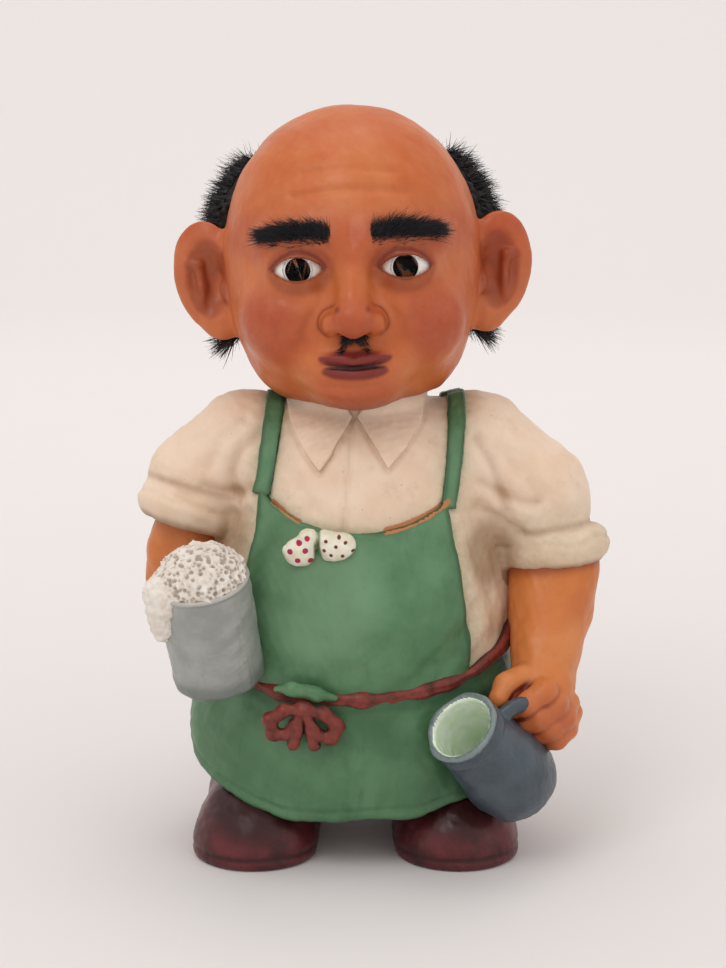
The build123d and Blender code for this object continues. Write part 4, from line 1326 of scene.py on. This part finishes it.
def fringe_edge(z):
    """How far back the fringe starts at each height."""
    return 7 + 0.14 * (z - 244) + np.where(z > 262, (z - 262) * 0.5, 0)


def in_fringe(y, z):
    """Where the fringe of hair is glued: behind the ears, below the crown's line and above the nape."""
    return (y > fringe_edge(z)) & (z < 281 - 0.25 * y) & (z > 206 + 0.10 * y)


def fringe_roots(count):
    out = []
    total = 0
    while total < count:
        z = rng.uniform(206, 283, 40000)
        a = rng.uniform(0, math.pi, 40000)
        r = egg_radius(z)
        x, y = r * np.cos(a), r * np.sin(a)
        ear = (np.abs(z - EYE_LINE + 9) < 21) & (y < 12) & (np.abs(x) > 40)
        keep = in_fringe(y, z) & (rng.uniform(0, HALF_WIDTH, 40000) < r) & ~ear
        out.append(np.stack([x, y, z], -1)[keep])
        total += keep.sum()
    return np.concatenate(out)[:count]


def egg_normals(p):
    g = gradient(egg, p.astype(np.float32))
    return g / np.maximum(length(g), 1e-6)[:, None]


def undercoat_field(p):
    """The matted base of the fringe, so that no scalp shows between the hairs."""
    shell = np.maximum(egg(p, 9.0), -egg(p, -1.0))
    y, z = p[:, 1], p[:, 2]
    edges = highest(fringe_edge(z) + 1.5 - y, z - 279.5 + 0.25 * y, 208 + 0.10 * y - z)
    return smax(shell, edges, 4.0)


# ---------------------------------------------------------------- build

SHIRT = shirt_material()
APRON = skirt_material()
HEAD_SKIN = head_material()
ARM_SKIN = skin_material("vinyl_arm")
TIE = plain_vinyl("vinyl_tie", BRICK, BRICK_DARK, 0.42, 7)
SHOES = plain_vinyl("vinyl_shoe", MAROON, MAROON_DARK, 0.34, 16)
FUR = fur_material()

LIMB_RELIEF, BOW_RELIEF = uneven((0.3, 13, 42), (0.1, 4, 43)), uneven((0.12, 3.2, 21), (0.2, 8, 22))
TIE_SHADE = crevice_paint(lambda q: ellipse_stack(q, TRUNK_TABLE, 0.4), 0.5, 2.0)
# name, field, low and high corner of its room, voxel, body, material, relief, paint, slot, node it stands for
PIECES = [
    ("shirt_and_bib", shirt_field, (-92, -64, 60), (106, 54, 192), 1.2, "figure", SHIRT,
     shirt_relief, shirt_paint, "vinyl_body", "body_shell"),
    ("bib_and_straps", panel(apron_distance, 1.5, 0.9), (-66, -64, 60), (66, 54, 192), 0.8, "figure", APRON,
     bib_relief, bib_paint, "vinyl_body", None),
    ("collar_leaves", panel(leaves_distance, 2.3, 0.8), (-34, -48, 156), (34, 0, 192), 0.5, "figure", SHIRT,
     uneven((0.25, 14, 4), (0.08, 4, 5)), leaf_paint, "vinyl_body", None),
    ("apron_skirt", skirt_field, (-74, -67, 14), (74, 56, 112), 1.1, "figure", APRON,
     skirt_relief, skirt_paint, "vinyl_body", None),
    ("waist_tie", tie_field, (-70, -68, 60), (70, 58, 122), 0.8, "figure", TIE,
     tie_relief, TIE_SHADE, "vinyl_body", None),
    ("waist_bow", bow_field, (-39, -71, 50), (-2, -57, 76), 0.4, "figure", TIE,
     BOW_RELIEF, crevice_paint(bow_field, 0.8, 1.5), "vinyl_body", None),
    ("apron_flap", flap_field, (-35, -68, 70), (-4, -56, 83), 0.45, "figure", APRON,
     BOW_RELIEF, flap_paint, "vinyl_body", None),
    ("kerchief", kerchief_field, (-31, -60, 121), (3, -46, 143), 0.35, "figure", kerchief_material(),
     kerchief_relief, kerchief_paint, "vinyl_body", None),
    ("arm_right", right_arm_field, (-90, -48, 84), (-42, 22, 150), 0.7, "figure", ARM_SKIN,
     LIMB_RELIEF, limb_paint(right_arm_field, CUFF_RIGHT, (-57, -40, 107)), "vinyl_skin", None),
    ("arm_left", left_arm_field, (46, -69, 38), (102, 18, 140), 0.7, "figure", ARM_SKIN,
     LIMB_RELIEF, limb_paint(left_arm_field, CUFF_LEFT, (72, -56, 58)), "vinyl_skin", None),
    ("trousers_and_shoes", legs_field, (-72, -64, -3), (72, 54, 112), 1.1, "figure", SHOES,
     legs_relief, legs_paint, "vinyl_body", None),
    ("stein_body", stein_field, (-92, -88, 74), (-30, -22, 134), 0.6, "figure", stein_material(),
     stein_relief, vessel_paint(STEIN, 42), "mug_paint", "stein"),
    ("froth", froth_base, (-92, -90, 92), (-34, -40, 142), 0.42, "figure", froth_material(),
     froth_relief, froth_paint, "froth", "stein_foam"),
    ("jug_body", jug_field, (26, -88, 8), (92, -22, 76), 0.6, "figure", jug_material(),
     jug_relief, vessel_paint(JUG, 50), "jug_paint", "jug"),
    ("head_casting", head_field, (-76, -68, 178), (76, 56, 304), 0.85, "head", HEAD_SKIN,
     head_relief, head_paint, "vinyl_skin", "head_shell"),
    ("hair_undercoat", undercoat_field, (-64, 2, 200), (64, 66, 286), 1.2, "head", FUR,
     uneven((0.9, 4, 101), (0.5, 1.8, 102)), lambda q, n: {"tip": np.zeros(len(q))}, "fur", "hair_fringe"),
]
for *shape, slot, node in PIECES:
    piece = sculpt(*shape)
    if node:
        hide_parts(node)

HAIRS = 48000
roots = fringe_roots(HAIRS)
outward = egg_normals(roots)
down = np.array([0, 0, -0.16])
back = np.stack([np.sign(roots[:, 0]) * 0.06, np.full(len(roots), 0.08), np.zeros(len(roots))], -1)
across = roots[:, 0]
for part, chosen in (("right", across < -22), ("back", np.abs(across) <= 22), ("left", across > 22)):
    out = outward[chosen]
    fur("hair_" + part, roots[chosen] + out * 4, out, back[chosen] + down, 10.0, 0.5, 0.27, 0.1)


def brow_roots(side, count):
    """Roots of one eyebrow, thickest in the middle and thin towards the temple."""
    t = rng.uniform(-1, 1, count)
    across = rng.normal(size=count) * (2.3 - 0.8 * np.abs(t))
    x = EYE_X + 13 * t
    z = BROW_LINE + 3.2 + 1.6 * (1 - t * t) + across
    y = -np.sqrt(np.maximum((HALF_WIDTH + 2.5) ** 2 - x * x, 1)) + 0.6
    return np.stack([side * x, y, z], -1), t


for side, part in ((-1, "right"), (1, "left")):
    root, t = brow_roots(side, 2600)
    p32 = root.astype(np.float32)
    g = gradient(head_field, p32)
    surface_at = p32 - (head_field(p32)[:, None] + 0.5) * g / np.maximum((g * g).sum(-1, keepdims=True), 0.2)
    n = g / np.maximum(length(g), 1e-6)[:, None]
    comb = np.stack([side * (0.75 + 0.3 * t), np.zeros(len(t)), 0.35 - 0.45 * t], -1)
    brow = fur("eyebrow_fur_" + part, surface_at, n, comb, 5.6, 0.28, 0.35, 0.1)
    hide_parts("eyebrow_" + part)

count = 520
x = rng.uniform(-5.6, 5.6, count)
z = NOSE_BASE - 3.0 + rng.uniform(-1.4, 1.2, count) - 0.05 * x * x
start = np.stack([x, np.full(count, -56.0), z], -1).astype(np.float32)
for _ in range(4):
    g = gradient(head_field, start)
    start = start - head_field(start)[:, None] * g / np.maximum((g * g).sum(-1, keepdims=True), 0.2)
comb = np.stack([np.sign(x) * 0.45, np.full(count, -0.1), np.full(count, -0.5)], -1)
g = gradient(head_field, start)
n = g / np.maximum(length(g), 1e-6)[:, None]
moustache = fur("moustache_fur", start, n, comb, 3.0, 0.24, 0.4, 0.2)
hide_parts("moustache")


# ---------------------------------------------------------------- carried-over CAD nodes

def paint_node(name, material):
    obj = frame["nodes"][name]
    obj.data.materials.clear()
    obj.data.materials.append(material)
    obj.data.polygons.foreach_set("material_index", [0] * len(obj.data.polygons))


def eye_white_material():
    paint = Paint("eye_white")
    colour = paint.mix(paint.patches(0.4, 0.8, 5, 4), (0.86, 0.84, 0.79), (0.78, 0.72, 0.64))
    veins = paint.ramp(paint.cells(4.0, "DISTANCE_TO_EDGE"), 0.0, 0.03, 1.0, 0.0)
    colour = paint.mix(paint.times(veins, 0.10), colour, (0.5, 0.1, 0.07))
    normal = paint.bump(paint.noise(3, 2), 0.03)
    return paint.finish(colour, 0.12, normal, Coat_Weight=0.5, Coat_Roughness=0.05)


def iris_material(name, node):
    """Radial spokes of brown about the pupil, with a dark rim."""
    low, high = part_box(node)
    centre = [(a + b) / 2 for a, b in zip(low, high)]
    radius = (high[0] - low[0]) / 2
    paint = Paint(name)
    shift = paint.node("ShaderNodeMapping", vector_type="POINT")
    paint.put(shift.inputs["Vector"], paint.coords)
    paint.put(shift.inputs["Location"], tuple(-c / radius for c in centre))
    paint.put(shift.inputs["Scale"], (1 / radius, 1 / radius, 1 / radius))
    apart = paint.node("ShaderNodeSeparateXYZ")
    paint.put(apart.inputs[0], shift.outputs["Vector"])
    x, z = apart.outputs["X"], apart.outputs["Z"]
    reach = paint.math("SQRT", paint.plus(paint.times(x, x), paint.times(z, z)))
    angle = paint.math("ARCTAN2", z, x)
    spokes = paint.math("SINE", paint.plus(paint.times(angle, 22.0), paint.times(reach, 3.0)))
    spokes = paint.ramp(paint.plus(spokes, paint.times(paint.noise(1.2, 4), 1.2)), -0.2, 1.4)
    colour = paint.mix(spokes, (0.42, 0.085, 0.025), (0.95, 0.36, 0.10))
    colour = paint.mix(paint.ramp(reach, 0.82, 0.98), colour, (0.05, 0.008, 0.005))
    colour = paint.mix(paint.ramp(reach, 0.26, 0.33, 1.0, 0.0), colour, (0.004, 0.003, 0.003))
    return paint.finish(colour, 0.25, paint.bump(spokes, 0.3), Coat_Weight=1.0, Coat_Roughness=0.03)


def cornea_material():
    paint = Paint("cornea")
    rough = paint.ramp(paint.noise(3, 2), 0.3, 0.7, 0.02, 0.06)
    return paint.finish((0.2, 0.2, 0.2), rough, None, Alpha=0.03, IOR=1.5)


def metal_material():
    paint = Paint("spring_steel")
    colour = paint.mix(paint.patches(0.35, 0.75, 3, 5), (0.50, 0.50, 0.49), (0.28, 0.25, 0.22))
    rough = paint.ramp(paint.noise(2, 4), 0.3, 0.7, 0.22, 0.42)
    return paint.finish(colour, rough, paint.bump(paint.noise(0.8, 3), 0.1), Metallic=1.0)


def wood_material():
    paint = Paint("plug_wood")
    grain = paint.noise(3, 6, 0.7, (6.0, 6.0, 0.5))
    colour = paint.mix(paint.ramp(grain, 0.3, 0.7), (0.46, 0.28, 0.13), (0.24, 0.12, 0.05))
    return paint.finish(colour, 0.6, paint.bump(grain, 0.3))


def plaster_material():
    paint = Paint("plaster")
    colour = paint.mix(paint.patches(0.3, 0.7, 4, 6), (0.80, 0.77, 0.70), (0.62, 0.58, 0.50))
    return paint.finish(colour, 0.8, paint.bump(paint.noise(2, 5), 0.4))


STEEL, WOOD, EYE_WHITE, CORNEA = metal_material(), wood_material(), eye_white_material(), cornea_material()
for name in ("seat_screw", "spring_seat", "neck_spring", "head_seat", "head_screw"):
    paint_node(name, STEEL)
for name in ("neck_plug", "head_plug"):
    paint_node(name, WOOD)
paint_node("ballast", plaster_material())
for part in ("right", "left"):
    paint_node("eye_white_" + part, EYE_WHITE)
    paint_node("iris_" + part, iris_material("iris_" + part, "iris_" + part))
    paint_node("cornea_" + part, CORNEA)


# ---------------------------------------------------------------- floor, light and camera

def studio_floor():
    """A pale sheet that curves up far behind the figure."""
    paint = Paint("floor")
    apart = paint.node("ShaderNodeSeparateXYZ")
    paint.put(apart.inputs[0], paint.coords)
    # painted shade: the sheet is darker near the front and lighter far behind
    far = paint.ramp(paint.plus(apart.outputs["Y"], paint.times(paint.noise(300, 3), 0.2)), -0.1, 1.5)
    colour = paint.mix(far, (0.79, 0.755, 0.745), (0.97, 0.935, 0.92))
    material = paint.finish(colour, 0.75)
    profile = [(-2.5, 0.0), (1.6, 0.0)]
    for i in range(1, 13):
        a = i / 12 * math.pi / 2
        profile.append((1.6 + 1.2 * math.sin(a), 1.2 - 1.2 * math.cos(a)))
    profile.append((2.8, 4.0))
    verts = [(x, y, z - 0.0002 * (z == 0)) for y, z in profile for x in (-4, 4)]
    faces = [(2 * i, 2 * i + 1, 2 * i + 3, 2 * i + 2) for i in range(len(profile) - 1)]
    mesh = bpy.data.meshes.new("floor")
    mesh.from_pydata(verts, [], faces)
    mesh.materials.append(material)
    mesh.polygons.foreach_set("use_smooth", [True] * len(mesh.polygons))
    obj = bpy.data.objects.new("floor", mesh)
    bpy.context.scene.collection.objects.link(obj)


def look_at(obj, target):
    d = (np.array(target) - np.array(obj.location)).tolist()
    obj.rotation_euler = Vector(d).to_track_quat("-Z", "Y").to_euler()


def area_light(name, place, target, size, watts, colour):
    data = bpy.data.lights.new(name, "AREA")
    data.shape, data.size, data.energy, data.color = "SQUARE", size, watts, colour
    obj = bpy.data.objects.new(name, data)
    obj.location = place
    bpy.context.scene.collection.objects.link(obj)
    look_at(obj, target)


studio_floor()
MIDDLE = (0.0, 0.0, 0.15)
area_light("key", (-0.6, -1.1, 1.6), MIDDLE, 0.9, 7.5, (1.0, 0.98, 0.96))
area_light("fill", (1.4, -0.9, 0.9), MIDDLE, 1.2, 1.5, (1.0, 0.98, 0.97))
area_light("top", (0.0, 0.3, 1.8), MIDDLE, 1.2, 5.0, (1.0, 0.99, 0.98))
world = bpy.data.worlds.new("studio")
world.use_nodes = True
world.node_tree.nodes["Background"].inputs["Color"].default_value = (1.0, 0.975, 0.96, 1)
world.node_tree.nodes["Background"].inputs["Strength"].default_value = 0.78
bpy.context.scene.world = world

ELEVATION, DISTANCE, TARGET_HEIGHT, SIDE_SHIFT = math.radians(12), 1.0, 0.146, 0.0029
camera = bpy.data.objects.new("camera", bpy.data.cameras.new("camera"))
camera.data.lens, camera.data.sensor_width = 90.8, 36.0
target = np.array([AXIS[0] / 1000 + SIDE_SHIFT, AXIS[1] / 1000, TARGET_HEIGHT])
camera.location = target + DISTANCE * np.array([0, -math.cos(ELEVATION), math.sin(ELEVATION)])
look_at(camera, target)
bpy.context.scene.collection.objects.link(camera)
bpy.context.scene.camera = camera
bpy.context.scene.view_settings.view_transform = "Standard"

bpy.context.view_layer.update()
